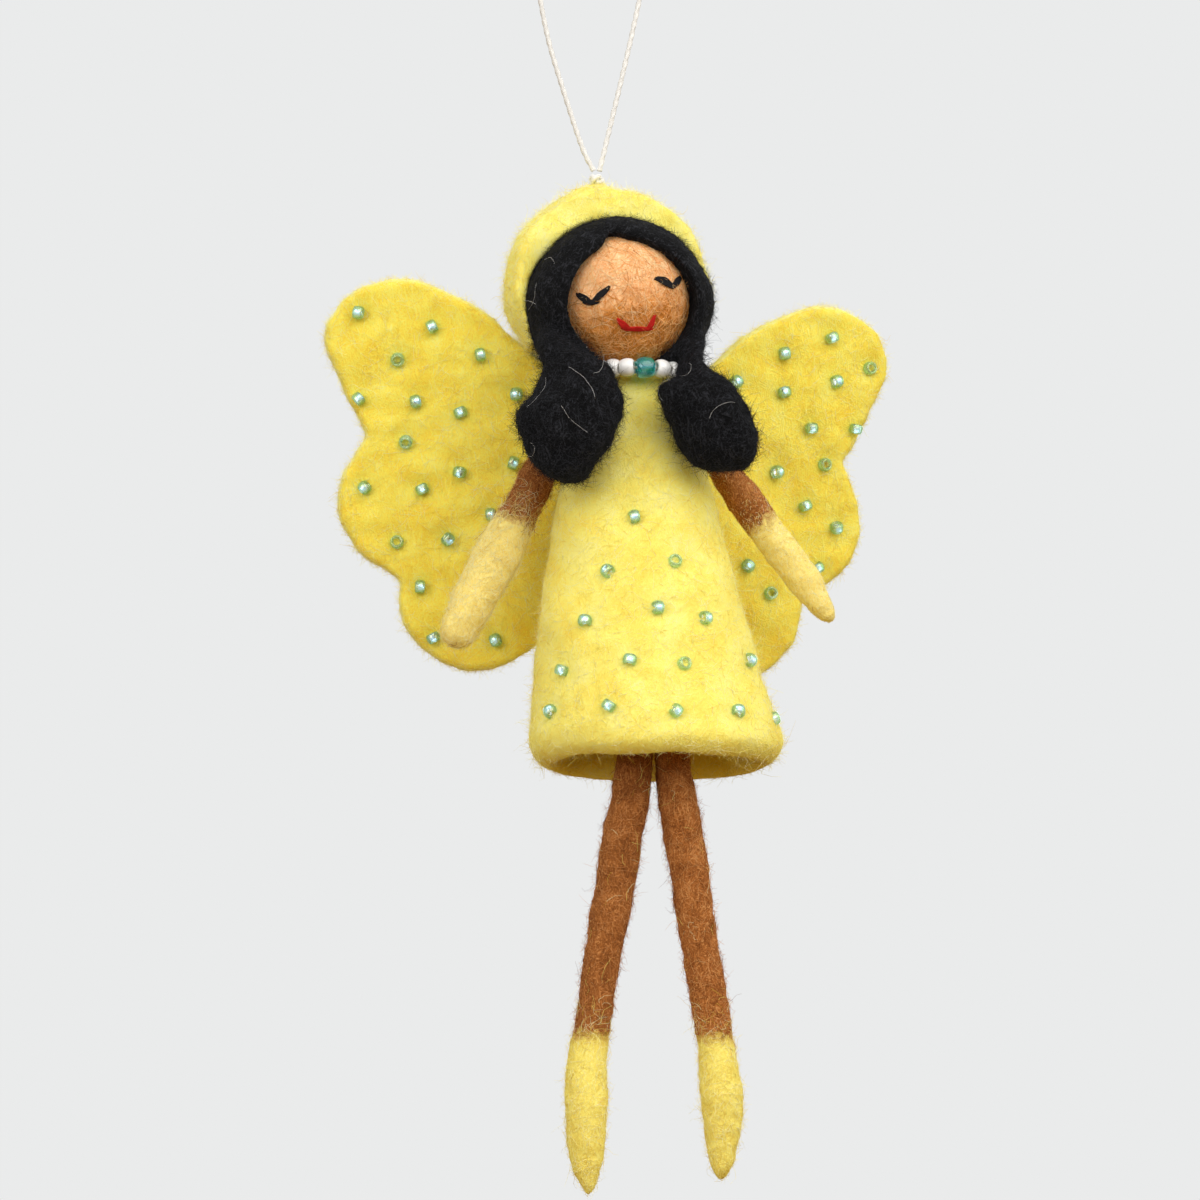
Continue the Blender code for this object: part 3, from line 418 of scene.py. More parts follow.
def studio_paper():
    """Studio floor paper: pale and matt. It fades into the pale background away from the object, and
    throws little light back up under the dress."""
    material, tree, shader = new_material("studio_paper", Roughness=0.95, Specular_IOR_Level=0.1)
    place = add_node(tree, "TexCoord").outputs["Object"]
    tooth = add_node(tree, "TexNoise", {"Vector": place, "Scale": per_metre(60.0), "Detail": 2.0})
    pale = add_node(tree, "Mix", {0: tooth, 6: linear("#C8CACB"), 7: linear("#CFD1D2")}, data_type="RGBA")
    seen = seen_rays(tree)
    shade = add_node(tree, "Mix", {0: seen, 6: linear("#8C6E30"), 7: pale.outputs[2]}, data_type="RGBA")
    tree.links.new(shade.outputs[2], shader.inputs["Base Color"])
    far = add_node(tree, "VectorMath", {0: place}, operation="LENGTH")
    fade = add_node(
        tree, "MapRange", {"Value": far.outputs["Value"], "From Min": 0.4, "From Max": 1.1},
        interpolation_type="SMOOTHSTEP",
    )
    glow = add_node(tree, "Emission", {"Color": linear(BACKGROUND), "Strength": seen})
    both = add_node(tree, "MixShader", {0: fade, 1: shader, 2: glow})
    tree.links.new(both.outputs[0], tree.nodes["Material Output"].inputs["Surface"])
    return material


def link_object(name, data):
    thing = bpy.data.objects.new(name, data)
    bpy.context.scene.collection.objects.link(thing)
    return thing


def finish_piece(piece, materials, body, slot, *replaced):
    """Dress a piece, hang it on its body, note its body and slot for its loose fibres, and hide the parts
    that it stands for.
    """
    for material in materials:
        piece.data.materials.append(material)
    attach(piece, body)
    HOMES[piece.name] = (body, slot)
    if replaced:
        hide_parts(*replaced)
    return piece


def mesh_piece(name, bm):
    """Smooth mesh object from a bmesh in metres."""
    bmesh.ops.recalc_face_normals(bm, faces=bm.faces[:])
    mesh = bpy.data.meshes.new(name)
    bm.to_mesh(mesh)
    bm.free()
    mesh.shade_smooth()
    return link_object(name, mesh)


def wool_skin(nodes, voxel, passes=4, swell=0.2):
    """One even skin over copies of wool solids, as a bmesh, with hollows shut inside it left out. The
    copies swell a little first, because softening takes that much off again."""
    bm = bmesh.new()
    for node in nodes:
        bm.from_mesh(NODES[node].data)
    bmesh.ops.remove_doubles(bm, verts=bm.verts[:], dist=WELD)
    bm.normal_update()
    for v in bm.verts:
        v.co += v.normal * swell * MM
    mesh = bpy.data.meshes.new("skin")
    bm.to_mesh(mesh)
    bm.free()
    thing = link_object("skin", mesh)
    remesh = thing.modifiers.new("Even faces", "REMESH")
    remesh.mode = "VOXEL"
    remesh.voxel_size = voxel * MM
    even = thing.evaluated_get(bpy.context.evaluated_depsgraph_get())
    skin = bpy.data.meshes.new_from_object(even)
    bpy.data.objects.remove(thing)
    bm = bmesh.new()
    bm.from_mesh(skin)
    bpy.data.meshes.remove(skin)
    keep_outer(bm)
    soften(bm, passes)
    return bm


def soften(bm, passes, verts=None):
    """Round off a skin's steps and creases, all over or at some points."""
    for _ in range(passes):
        bmesh.ops.smooth_vert(
            bm, verts=verts or bm.verts[:], factor=0.5, use_axis_x=True, use_axis_y=True, use_axis_z=True
        )


def keep_outer(bm):
    """Delete every shell but the largest."""
    todo = set(bm.verts)
    largest = set()
    while todo:
        edge = [todo.pop()]
        shell = set(edge)
        while edge:
            for link in edge.pop().link_edges:
                fresh = set(link.verts) - shell
                shell |= fresh
                edge += fresh
        todo -= shell
        largest = max(largest, shell, key=len)
    inner = [v for v in bm.verts if v not in largest]
    bmesh.ops.delete(bm, geom=inner, context="VERTS")


def needle(bm, lumps, seed, share=None):
    """Raise and sink a skin as needles do. lumps are rows of width, depth and height of a lump, and how
    far it stands out. share gives how much of that a place gets."""
    bm.normal_update()
    shift = Vector((seed * 7.3, seed * 3.1, seed * 5.7))
    moves = []
    for v in bm.verts:
        x, y, z = v.co / MM
        rise = sum(out * noise.noise(Vector((x / w, y / d, z / h)) + shift) for w, d, h, out in lumps)
        moves.append(v.normal * rise * MM * (share(v.co) if share else 1))
    for v, move in zip(bm.verts, moves):
        v.co += move


def dimple(bm, spots, facing):
    """Draw a skin in round each sewn bead."""
    reach = 3 * DIMPLE_WIDTH * MM
    bm.normal_update()
    for v in bm.verts:
        if v.normal.dot(facing(v.co)) < 0.3:
            continue
        pull = 0.0
        for spot in spots:
            away = (v.co - spot).length
            if away < reach:
                pull += math.exp(-0.5 * (away / (DIMPLE_WIDTH * MM)) ** 2)
        v.co -= v.normal * min(pull, 1.0) * DIMPLE_DEPTH * MM


def surface_spots(piece, count, seed, weigh=None):
    """Random points on a piece's skin and the normals there. weigh gives each face's share."""
    mesh = piece.data
    mesh.calc_loop_triangles()
    corners = np.empty(len(mesh.loop_triangles) * 3, np.int32)
    mesh.loop_triangles.foreach_get("vertices", corners)
    places = np.empty(len(mesh.vertices) * 3, np.float32)
    mesh.vertices.foreach_get("co", places)
    faces = places.reshape(-1, 3)[corners.reshape(-1, 3)].astype(float)
    across = np.cross(faces[:, 1] - faces[:, 0], faces[:, 2] - faces[:, 0])
    area = np.linalg.norm(across, axis=1)
    normals = across / np.maximum(area, 1e-18)[:, None]
    if weigh:
        area = area * weigh(faces.mean(1), normals)
    rng = np.random.default_rng(seed)
    pick = rng.choice(len(area), count, p=area / area.sum())
    a, b = rng.random((2, count, 1))
    over = a + b > 1
    a, b = np.where(over, 1 - a, a), np.where(over, 1 - b, b)
    chosen = faces[pick]
    spots = chosen[:, 0] + a * (chosen[:, 1] - chosen[:, 0]) + b * (chosen[:, 2] - chosen[:, 0])
    return spots, normals[pick]


def any_way(spot, rng):
    """Random heading."""
    return Vector((rng.gauss(0, 1), rng.gauss(0, 1), rng.gauss(0, 1)))


def creeping_fibre(tree, rng, spot, normal, heading, coat):
    """Points of one fibre that creeps over a skin and lifts off it towards its end."""
    step = coat.length * rng.uniform(0.6, 1.3) / coat.steps * MM
    lift = min(rng.expovariate(1 / coat.lift), 2.2 * coat.lift) * MM
    turn = rng.gauss(0, coat.curl)
    points = [spot - normal * ROOT_DEPTH * MM]
    for i in range(coat.steps):
        heading = heading - normal * heading.dot(normal)
        heading.rotate(Quaternion(normal, turn + rng.gauss(0, coat.curl * 0.5)))
        heading.normalize()
        spot, normal, _, _ = tree.find_nearest(spot + heading * step)
        rise = BED_HEIGHT * MM + lift * ((i + 1) / coat.steps) ** 2
        points.append(spot + normal * rise)
    return points


def skin_tree(piece):
    """Search tree of a piece's faces."""
    mesh = piece.data
    return BVHTree.FromPolygons([v.co for v in mesh.vertices], [p.vertices for p in mesh.polygons])


def round_curve(name, thick, resolution):
    """Empty curve for round strands of one thickness. It becomes an object once they are laid."""
    curve = bpy.data.curves.new(name, "CURVE")
    curve.dimensions = "3D"
    curve.bevel_depth = thick / 2 * MM
    curve.bevel_resolution = resolution
    return curve


def add_strand(curve, points, closed=False):
    """Lay a strand along points in metres."""
    spline = curve.splines.new("POLY")
    spline.points.add(len(points) - 1)
    spline.points.foreach_set("co", [c for p in points for c in (*p, 1.0)])
    spline.use_cyclic_u = closed
    return spline


def loose_fibres(name, base, materials, coats, seed, flow=any_way, second=None, weigh=None):
    """Many short tapered fibres rooted on a felted piece. second gives the chance of the second tones:
    a second dye on the limbs, painted shade low on the face.
    """
    tree = skin_tree(base)
    rng = random.Random(seed)
    curve = round_curve(name, coats[0].thick, 0)
    for material in materials:
        curve.materials.append(material)
    for number, coat in enumerate(coats):
        count = int(coat.count * QUICK_SHARE)
        thin = coat.thick / coats[0].thick
        taper = [thin * (1 - 0.6 * (i / coat.steps) ** 2) for i in range(coat.steps + 1)]
        spots, normals = surface_spots(base, count, seed * 10 + number, weigh)
        for spot, normal in zip(spots, normals):
            spot = Vector(spot)
            points = creeping_fibre(tree, rng, spot, Vector(normal), flow(spot, rng), coat)
            spline = add_strand(curve, points)
            spline.points.foreach_set("radius", taper)
            dye = 3 if second and rng.random() < second(spot) else 0
            spline.material_index = rng.choice(TONES) + dye
    finish_piece(link_object(name, curve), [], *HOMES[base.name])


def set_dye_and_painted_light(piece, share):
    """Write the dye attribute: 0 for the first tones and 1 for the second, which are a second dye on
    the limbs, painted light on the wings' rims and painted shade low on the face.
    """
    layer = piece.data.attributes.new("dye", "FLOAT", "POINT")
    layer.data.foreach_set("value", [share(v) for v in piece.data.vertices])


def smooth_step(value, low, high):
    t = min(max((value - low) / (high - low), 0.0), 1.0)
    return t * t * (3 - 2 * t)


def smooth_points(points, steps):
    """Points on a smooth curve through the given ones."""
    spots = [Vector(p) for p in points]
    ends = [spots[0] * 2 - spots[1]] + spots + [spots[-1] * 2 - spots[-2]]
    curve = []
    for a, b, c, d in zip(ends, ends[1:], ends[2:], ends[3:]):
        for step in range(steps):
            t = step / steps
            bend = (a * 2 - b * 5 + c * 4 - d) * t * t + (b * 3 - a - c * 3 + d) * t**3
            curve.append((b * 2 + (c - a) * t + bend) / 2)
    curve.append(spots[-1])
    return curve


def bead_mesh(name, sizes, centre, axis, rings=12, segments=20):
    """Round bead with a bore along its axis: an oval spun round it."""
    radius, length, hole = (size * MM for size in sizes)
    wall = (radius - hole) / 2
    bm = bmesh.new()
    oval = Matrix.Translation((hole + wall, 0.0, 0.0)) @ Matrix.Diagonal((wall, 1.0, length / 2, 1.0))
    lay = oval @ Matrix.Rotation(math.radians(90), 4, "X")
    bmesh.ops.create_circle(bm, segments=rings, radius=1.0, matrix=lay)
    bmesh.ops.spin(
        bm, geom=bm.verts[:] + bm.edges[:], cent=(0, 0, 0), axis=UP, dvec=(0, 0, 0),
        angle=math.tau, steps=segments, use_merge=True,
    )
    for face in bm.faces:
        away = face.calc_center_median()
        face.material_index = int(math.hypot(away.x, away.y) < hole + wall * 0.2)
    turn = UP.rotation_difference(Vector(axis)).to_matrix().to_4x4()
    bmesh.ops.transform(bm, matrix=Matrix.Translation(centre) @ turn, verts=bm.verts[:])
    return mesh_piece(name, bm)


def tilted(axis, rng, spread=0.35):
    """Axis leant a little at random, as hand-sewn beads lie."""
    return (Vector(axis).normalized() + any_way(None, rng).normalized() * spread).normalized()


def middle_of(node):
    low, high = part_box(node)
    return (low + high) / 2


def sew_bead(name, number, seat, out, sink, rng, body, *replaced):
    """Seed bead on felt. Most lie on their side, and every sixth shows its bore."""
    shown = number % 6 == 2
    axis = tilted(out if shown else any_way(None, rng).cross(out), rng)
    rise = (SEED[1] / 2 if shown else SEED[0]) - sink
    bead = bead_mesh(name, SEED, seat + out * rise * MM, axis)
    finish_piece(bead, GLASS, body, "aqua_bead", *replaced)


FELT = needle_felt("yellow_needle_felt", YELLOW)
FELT_FIBRES = wool_fibres("yellow_wool_fibre", YELLOW_FIBRE)
# The wing felt's second tones are painted light: paler rims where the felt turns away from the front.
WING_FELT = needle_felt("golden_needle_felt", WING_YELLOW, WING_RIM_PAINTED_LIGHT, mottle=3.6, grain=0.36, depth=0.18)
WING_FIBRES = wool_fibres("golden_wool_fibre", WING_FIBRE)

# Seed beads: transparent glass with a rainbow lustre, a clear aqua that takes up the felt's colour, with
# hard white glints. Beads of one packet differ a little in tint. Their bores are silvered, with a faint
# tarnish, and are seen through the glass.
GLASS = [
    pressed_glass(
        "transparent_glass_lustre", ("#BEE8F6", "#CBF3EA"), (0.35, 0.65), 5.0, 1.0, ripple=0.5,
        Roughness=0.05, IOR=1.52, Transmission_Weight=0.9, Thin_Film_Thickness=380.0,
        Thin_Film_IOR=1.9, Coat_Weight=0.6, Coat_Roughness=0.03,
    ),
    mottled_metal("silvered_bore", "#FAFFFD", 0.8, 2.0, 0.12, 0.4),
]


def make_wing(side):
    """Felt wing, quilted by its beads, with loose fibres and the beads themselves."""
    node = "wing_" + side
    body = side + "_wing"
    joint = JOINTS[side + "_wing_fold"]
    hinge = Vector(joint["pos_m"])
    up = Vector(joint["axis"]) * (1 if joint["axis"][2] > 0 else -1)
    bm = wool_skin([node], 0.5, passes=2)

    # The wing's plane, worked out from its own points, with its normal to the front.
    places = np.array([v.co for v in bm.verts])
    front = Vector(np.linalg.svd(places - places.mean(0), full_matrices=False)[2][2])
    front *= -1 if front.dot(FRONT) < 0 else 1
    up = (up - front * up.dot(front)).normalized()
    out = up.cross(front) * (-1 if side == "left" else 1)
    out *= 1 if out.dot(Vector(places.mean(0)) - hinge) > 0 else -1

    def wave(spot):
        flat = Vector(((spot - hinge).dot(out), (spot - hinge).dot(up), SIDES[side]))
        waved = noise.noise(flat / (WAVE_WIDTH * MM)) * smooth_step(flat.x, 0, WAVE_FULL * MM)
        return WING_WAVE * MM * waved

    for v in bm.verts:
        proud = (v.co - hinge).dot(front) - WING_HALF * MM
        if proud > 0:
            v.co -= front * proud
        v.co += front * wave(v.co)
    soften(bm, 1)
    seats = []
    for along, high in WING_BEADS[side]:
        flat = hinge + out * along * MM + up * high * MM
        seats.append(flat + front * (wave(flat) + WING_HALF * MM))
    dimple(bm, seats, lambda spot: front)
    needle(bm, [(7, 7, 7, 0.28), (9, 9, 3, 0.28), (2.8, 2.8, 2.4, 0.07)], 3 + SIDES[side])
    wing = mesh_piece("felt_wing_" + side, bm)
    # Painted light: the wing's edges, where the felt turns away from the front, get the paler rim tones.
    set_dye_and_painted_light(wing, lambda v: 1 - smooth_step(abs(v.normal.dot(front)), 0.35, 0.95))
    finish_piece(wing, [WING_FELT], body, "yellow_felt", node)

    def rim(spots, normals):
        return np.where(np.abs(normals @ np.array(front)) < 0.85, 8.0, 1.0)

    coats = [Coat(3400, 3.0, 0.2, 0.35, 0.05, 2)]
    loose_fibres("wing_nap_" + side, wing, WING_FIBRES, coats, 11 + SIDES[side])
    coats = [
        Coat(8200, 0.9, 0.38, 0.4, 0.04, 1),
        Coat(2600, 1.7, 0.7, 1.0, 0.042, 2),
        Coat(260, 3.0, 0.9, 0.9, 0.048, 5),
    ]
    loose_fibres("wing_fuzz_" + side, wing, WING_FIBRES, coats, 14 + SIDES[side], weigh=rim)

    rng = random.Random(40 + SIDES[side])
    for i, seat in enumerate(seats):
        sew_bead("wing_bead_%s_%02d" % (side, i + 1), i, seat, front, WING_SINK, rng, body)


def round_hem(bm):
    """Turn the hem's lip under in one wide curve, from the outside down to the inner edge."""
    low = min(v.co.z for v in bm.verts)
    lip = [v for v in bm.verts if v.co.z < low + HEM_LIP * MM]
    middle = sum((v.co for v in lip), Vector()) / len(lip)
    sectors = {}
    for v in lip:
        away = (v.co - middle).to_2d()
        sector = int(math.degrees(math.atan2(away.y, away.x)) // (360 / HEM_SECTORS)) % HEM_SECTORS
        sectors.setdefault(sector, []).append((v, away.length))
    for rows in sectors.values():
        outer = max(far for v, far in rows)
        bottom = min(v.co.z for v, far in rows)
        inner = min(far for v, far in rows if v.co.z < bottom + 3 * MM)
        for v, far in rows:
            share = min(max((far - inner) / (outer - inner), 0.0), 1.0)
            least = bottom + HEM_TURN * MM * (1 - math.sqrt(1 - share**2))
            v.co.z = max(v.co.z, least)
    soften(bm, 3)


def make_dress():
    """Bell dress with a thick soft hem, its beads and its loose fibres."""
    low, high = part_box("dress")
    centre = (low + high) / 2
    bm = wool_skin(["dress"], 0.6)
    neck = middle_of("head")
    for v in bm.verts:
        near = 1 - smooth_step((v.co - neck).to_2d().length, 3 * MM, 8 * MM)
        v.co.z += NECK_RISE * MM * near * smooth_step(v.co.z, high.z - 5 * MM, high.z - 1 * MM)
        hem = smooth_step(-v.co.z, -low.z - HEM_HEIGHT * MM, -low.z)
        back = smooth_step(v.co.y, centre.y - 4 * MM, high.y)
        v.co.z -= hem * back * HEM_SAG * MM
    round_hem(bm)
    seats = [middle_of(node) for node in DRESS_BEADS]
    dimple(bm, seats, lambda spot: Vector((spot.x - centre.x, spot.y - centre.y, 0.0)).normalized())
    needle(bm, [(9, 9, 9, 0.4), (9, 9, 3.5, 0.28), (2.8, 2.8, 2.4, 0.07)], 9)
    dress = mesh_piece("felt_dress", bm)
    finish_piece(dress, [FELT], "torso", "yellow_felt", "dress")

    def outside(spots, normals):
        away = spots - np.array(centre)
        facing = (away[:, :2] * normals[:, :2]).sum(1)
        return np.where((facing > 0) | (spots[:, 2] < low.z + 5 * MM), 1.0, 0.06)

    coats = [Coat(3800, 3.0, 0.2, 0.35, 0.05, 2)]
    loose_fibres("dress_nap", dress, FELT_FIBRES, coats, 21, weigh=outside)
    coats = [
        Coat(8600, 1.0, 0.42, 0.4, 0.04, 1),
        Coat(4400, 1.9, 0.75, 1.0, 0.042, 2),
        Coat(600, 3.4, 1.2, 0.9, 0.048, 5),
    ]
    loose_fibres("dress_fuzz", dress, FELT_FIBRES, coats, 22, weigh=outside)

    rng = random.Random(51)
    skin = skin_tree(dress)
    for i, node in enumerate(DRESS_BEADS):
        seat, out, _, _ = skin.find_nearest(middle_of(node))
        sew_bead("sewn_" + node, i, seat, out, DRESS_SINK, rng, "torso", node)


def head_frame():
    """Matrix of the head ball's leaning frame."""
    turn = Matrix.Rotation(math.radians(HEAD_YAW), 4, "Z")
    turn = turn @ Matrix.Rotation(math.radians(-HEAD_ROLL), 4, "Y")
    return Matrix.Translation(middle_of("head")) @ turn


def make_head():
    """Felted head ball, paler above and browner below in painted shade, with its stitched face."""
    place = head_frame()
    upright = place.inverted()
    bm = wool_skin(["head"], 0.45)
    needle(bm, [(6, 6, 6, 0.3), (2, 2, 2, 0.15)], 2)
    head = mesh_piece("felt_head", bm)
    # Painted shade: the second, browner tones grow towards the lower face, as under a top light.
    set_dye_and_painted_light(head, lambda v: 0.9 - smooth_step((upright @ v.co).z, -6 * MM, 3 * MM) * 0.8)
    felt = needle_felt(
        "tan_needle_felt", TAN, TAN_PAINTED_SHADE, mottle=3.0, fibre=0.24, depth=0.1, grain=0.32, sheen=0.08
    )
    finish_piece(head, [felt], "head", "tan_wool", "head")

    # Painted shade: low on the face more fibres take the browner tones.
    fibres = wool_fibres("tan_wool_fibre", FACE_FIBRE) + wool_fibres("painted_shade_tan_wool_fibre", CHIN_PAINTED_SHADE_FIBRE)

    def painted_shade_low_down(spot):
        return 0.9 - smooth_step((upright @ spot).z, -7 * MM, 4 * MM) * 0.75

    def face(spots, normals):
        return np.where(normals[:, 1] < 0.1, 1.0, 0.03)

    coats = [
        Coat(1500, 4.5, 0.12, 0.22, 0.08, 5),
        Coat(2000, 2.4, 0.2, 0.35, 0.05, 3),
        Coat(600, 1.5, 0.5, 0.4, 0.04, 2),
    ]
    loose_fibres("face_fuzz", head, fibres, coats, 31, second=painted_shade_low_down, weigh=face)

    black = (cotton_thread("black_stranded_thread", "#141214"), "black_thread", EYE_STRANDS)
    red = (cotton_thread("red_stranded_thread", "#CC241C"), "red_thread", MOUTH_STRANDS)
    for node, marks in FACE_STITCHES.items():
        thread, kind, strands = red if node.startswith("mouth") else black
        stitches = face_stitches(node, marks, strands, head, place)
        finish_piece(stitches, [thread], "head", kind, node)


def face_stitches(node, marks, strands, head, place):
    """Short stitches laid on the felt, each of several strands that spread in its middle."""
    skin = skin_tree(head)
    low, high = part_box("head")
    radius = (high.x - low.x) / 2
    rng = random.Random(len(node))
    curve = round_curve("thread_" + node, STRAND, 1)
    curve.use_fill_caps = True
    for start, end in marks:
        for _ in range(strands):
            aside = Vector([rng.gauss(0, spread) for spread in STRAND_SPREAD])
            first, last = rng.uniform(-0.12, 0.04), rng.uniform(0.96, 1.12)
            points = []
            for i in range(6):
                share = i / 5
                flat = Vector(start).lerp(Vector(end), first + (last - first) * share)
                flat += aside * (1 - abs(share - 0.5))
                spot = Vector((flat.x * MM, 0.0, flat.y * MM))
                spot.y = -math.sqrt(radius**2 - spot.x**2 - spot.z**2)
                spot, out, _, _ = skin.find_nearest(place @ spot)
                rise = STITCH_BED + STITCH_RISE * math.sin(math.pi * share)
                points.append(spot + out * rise * MM)
            add_strand(curve, points)
    return link_object(curve.name, curve)


def part_hair(bm, place):
    """Draw the hair's edge in over the face on both sides of the parting."""
    upright = place.inverted()
    for v in bm.verts:
        spot = upright @ v.co / MM
        away = math.hypot(spot.x, spot.z)
        if spot.y > -1 or away > FACE_OPENING + 6:
            continue
        angle = (math.degrees(math.atan2(spot.z, spot.x)) + 40) % 360 - 40
        for (low, start), (high, end) in zip(FACE_EDGE, FACE_EDGE[1:]):
            if low <= angle <= high:
                edge = start + (end - start) * smooth_step(angle, low, high)
        near = 1 - smooth_step(away, FACE_OPENING - 1, FACE_OPENING + 6)
        moved = min(away + (edge - FACE_OPENING) * near, spot.length)
        deep = math.sqrt(max(spot.length_squared - moved**2, 0.0))
        v.co = place @ (Vector((spot.x / away * moved, -deep, spot.z / away * moved)) * MM)
    soften(bm, 4)
    ends = [v for v in bm.verts if FACE_END.x < abs((upright @ v.co).x / MM) < FACE_END.y]
    soften(bm, 24, [v for v in ends if -13 < (upright @ v.co).z / MM < -5 and v.co.y < place.translation.y])


def gather_bunches(bm):
    """Draw the tops of the bunches in under the chin, so that they hide the ends of the necklace."""
    for side, (start, end, outer) in GATHER.items():
        low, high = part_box("hair_bunch_" + side)
        for v in bm.verts:
            if not low.x - 3 * MM < v.co.x < high.x + 3 * MM or v.co.y > high.y + 2 * MM:
                continue
            high_up = smooth_step(v.co.z / MM, start, start + 8)
            high_up *= 1 - smooth_step(v.co.z / MM, end, end + 4)
            across = smooth_step(v.co.x, low.x, high.x)
            inner = across if side == "left" else 1 - across
            v.co.x -= SIDES[side] * GATHER_IN * MM * high_up * (outer + (1 - outer) * inner)
    soften(bm, 4)
    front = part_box("hair_bunch_left")[1].y + 2 * MM
    for v in bm.verts:
        if v.co.y < front:
            here = v.co / MM
            for x, z, reach, right, up in BUNCH_PULLS:
                near = math.exp(-((here.x - x) ** 2 + (here.z - z) ** 2) / reach**2)
                v.co += Vector((right, 0.0, up)) * near * MM
    soften(bm, 5)


def make_hair():
    """Dark wool laid over the head and bunched at both sides, with a few undyed strays."""
    place = head_frame()
    centre = place.translation
    felt = needle_felt(
        "black_combed_wool", BLACK, mottle=1.6, fibre=0.3, depth=0.5, grain=0.45, sheen=0.02, spread=0.1
    )
    fibres = wool_fibres("black_wool_fibre", BLACK)
    bm = wool_skin(["hair_cap", "hair_bunch_left", "hair_bunch_right"], 0.45, passes=5, swell=0.3)
    part_hair(bm, place)
    gather_bunches(bm)
    for v in bm.verts:
        thin = HAIR_THIN * MM * smooth_step(v.co.z, centre.z, centre.z + 8 * MM)
        v.co -= (v.co - centre).normalized() * thin
    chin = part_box("head")[0].z + 4 * MM
    lumps = [(5, 5, 5, 0.9), (2.2, 2.2, 2.2, 0.35)]
    needle(bm, lumps, 4, lambda spot: 1 - 0.75 * smooth_step(spot.z, chin - 5 * MM, chin + 3 * MM))
    hair = mesh_piece("wool_hair", bm)
    finish_piece(hair, [felt], "head", "black_wool", "hair_cap", "hair_bunch_left", "hair_bunch_right")

    def combed(spot, rng):
        if spot.z < chin:
            return any_way(spot, rng)
        side = 1 if spot.x > centre.x else -1
        return Vector((side * 0.5, rng.gauss(0, 0.4), -1.0 + rng.gauss(0, 0.5)))

    def seen(spots, normals):
        away = spots - np.array(centre)
        inside = (away * normals).sum(1) < 0
        return np.where(inside & (spots[:, 2] > chin), 0.02, 1.0)

    def bunched(spots, normals):
        return np.where(spots[:, 2] < chin, 1.0, 0.04)

    def ahead(spots, normals):
        return np.where(normals[:, 1] < -0.2, 1.0, 0.0)

    coats = [Coat(4400, 2.0, 0.4, 0.9, 0.05, 3)]
    loose_fibres("hair_nap", hair, fibres, coats, 61, flow=combed, weigh=seen)
    coats = [Coat(5200, 1.5, 0.5, 1.0, 0.035, 2), Coat(500, 3.0, 0.9, 0.9, 0.03, 5)]
    loose_fibres("hair_fuzz", hair, fibres, coats, 64, flow=combed, weigh=seen)
    coats = [Coat(6000, 2.2, 0.7, 0.9, 0.05, 3), Coat(800, 4.2, 1.4, 0.8, 0.035, 5)]
    loose_fibres("bunch_fuzz", hair, fibres, coats, 67, weigh=bunched)

    strays = wool_fibres("undyed_stray_fibre", STRAY)
    coats = [Coat(18 / QUICK_SHARE, 5.0, 0.8, 0.2, 0.036, 12)]
    loose_fibres("hair_strays", hair, strays, coats, 71, weigh=ahead)


def make_hood():
    """Thick, fluffy yellow cap over the hair."""
    centre = middle_of("head")
    bm = wool_skin(["hood"], 0.5)
    knot = middle_of("loop_knot")
    for v in bm.verts:
        away = (v.co - knot).to_2d().length / MM
        if v.co.z > knot.z - 6 * MM:
            v.co.z += HOOD_PEAK * MM * math.exp(-((away / PEAK_WIDTH) ** 2))
        v.co.z -= HOOD_DROP * MM * smooth_step(v.co.z, centre.z, centre.z + 9 * MM)
    needle(bm, [(7, 7, 7, 0.9), (3, 3, 3, 0.3)], 12)
    hood = mesh_piece("wool_hood", bm)
    felt = needle_felt("yellow_loose_wool", HOOD_YELLOW, mottle=3.5)
    finish_piece(hood, [felt], "head", "yellow_wool", "hood")
    fibres = wool_fibres("hood_wool_fibre", HOOD_FIBRE)

    def outside(spots, normals):
        away = spots - np.array(centre)
        return np.where((away * normals).sum(1) > 0, 1.0, 0.05)

    coats = [
        Coat(2000, 2.6, 0.4, 0.6, 0.05, 2),
        Coat(5900, 1.5, 0.55, 1.2, 0.04, 2),
        Coat(600, 3.2, 1.1, 1.0, 0.048, 5),
    ]
    loose_fibres("hood_fuzz", hood, fibres, coats, 81, weigh=outside)


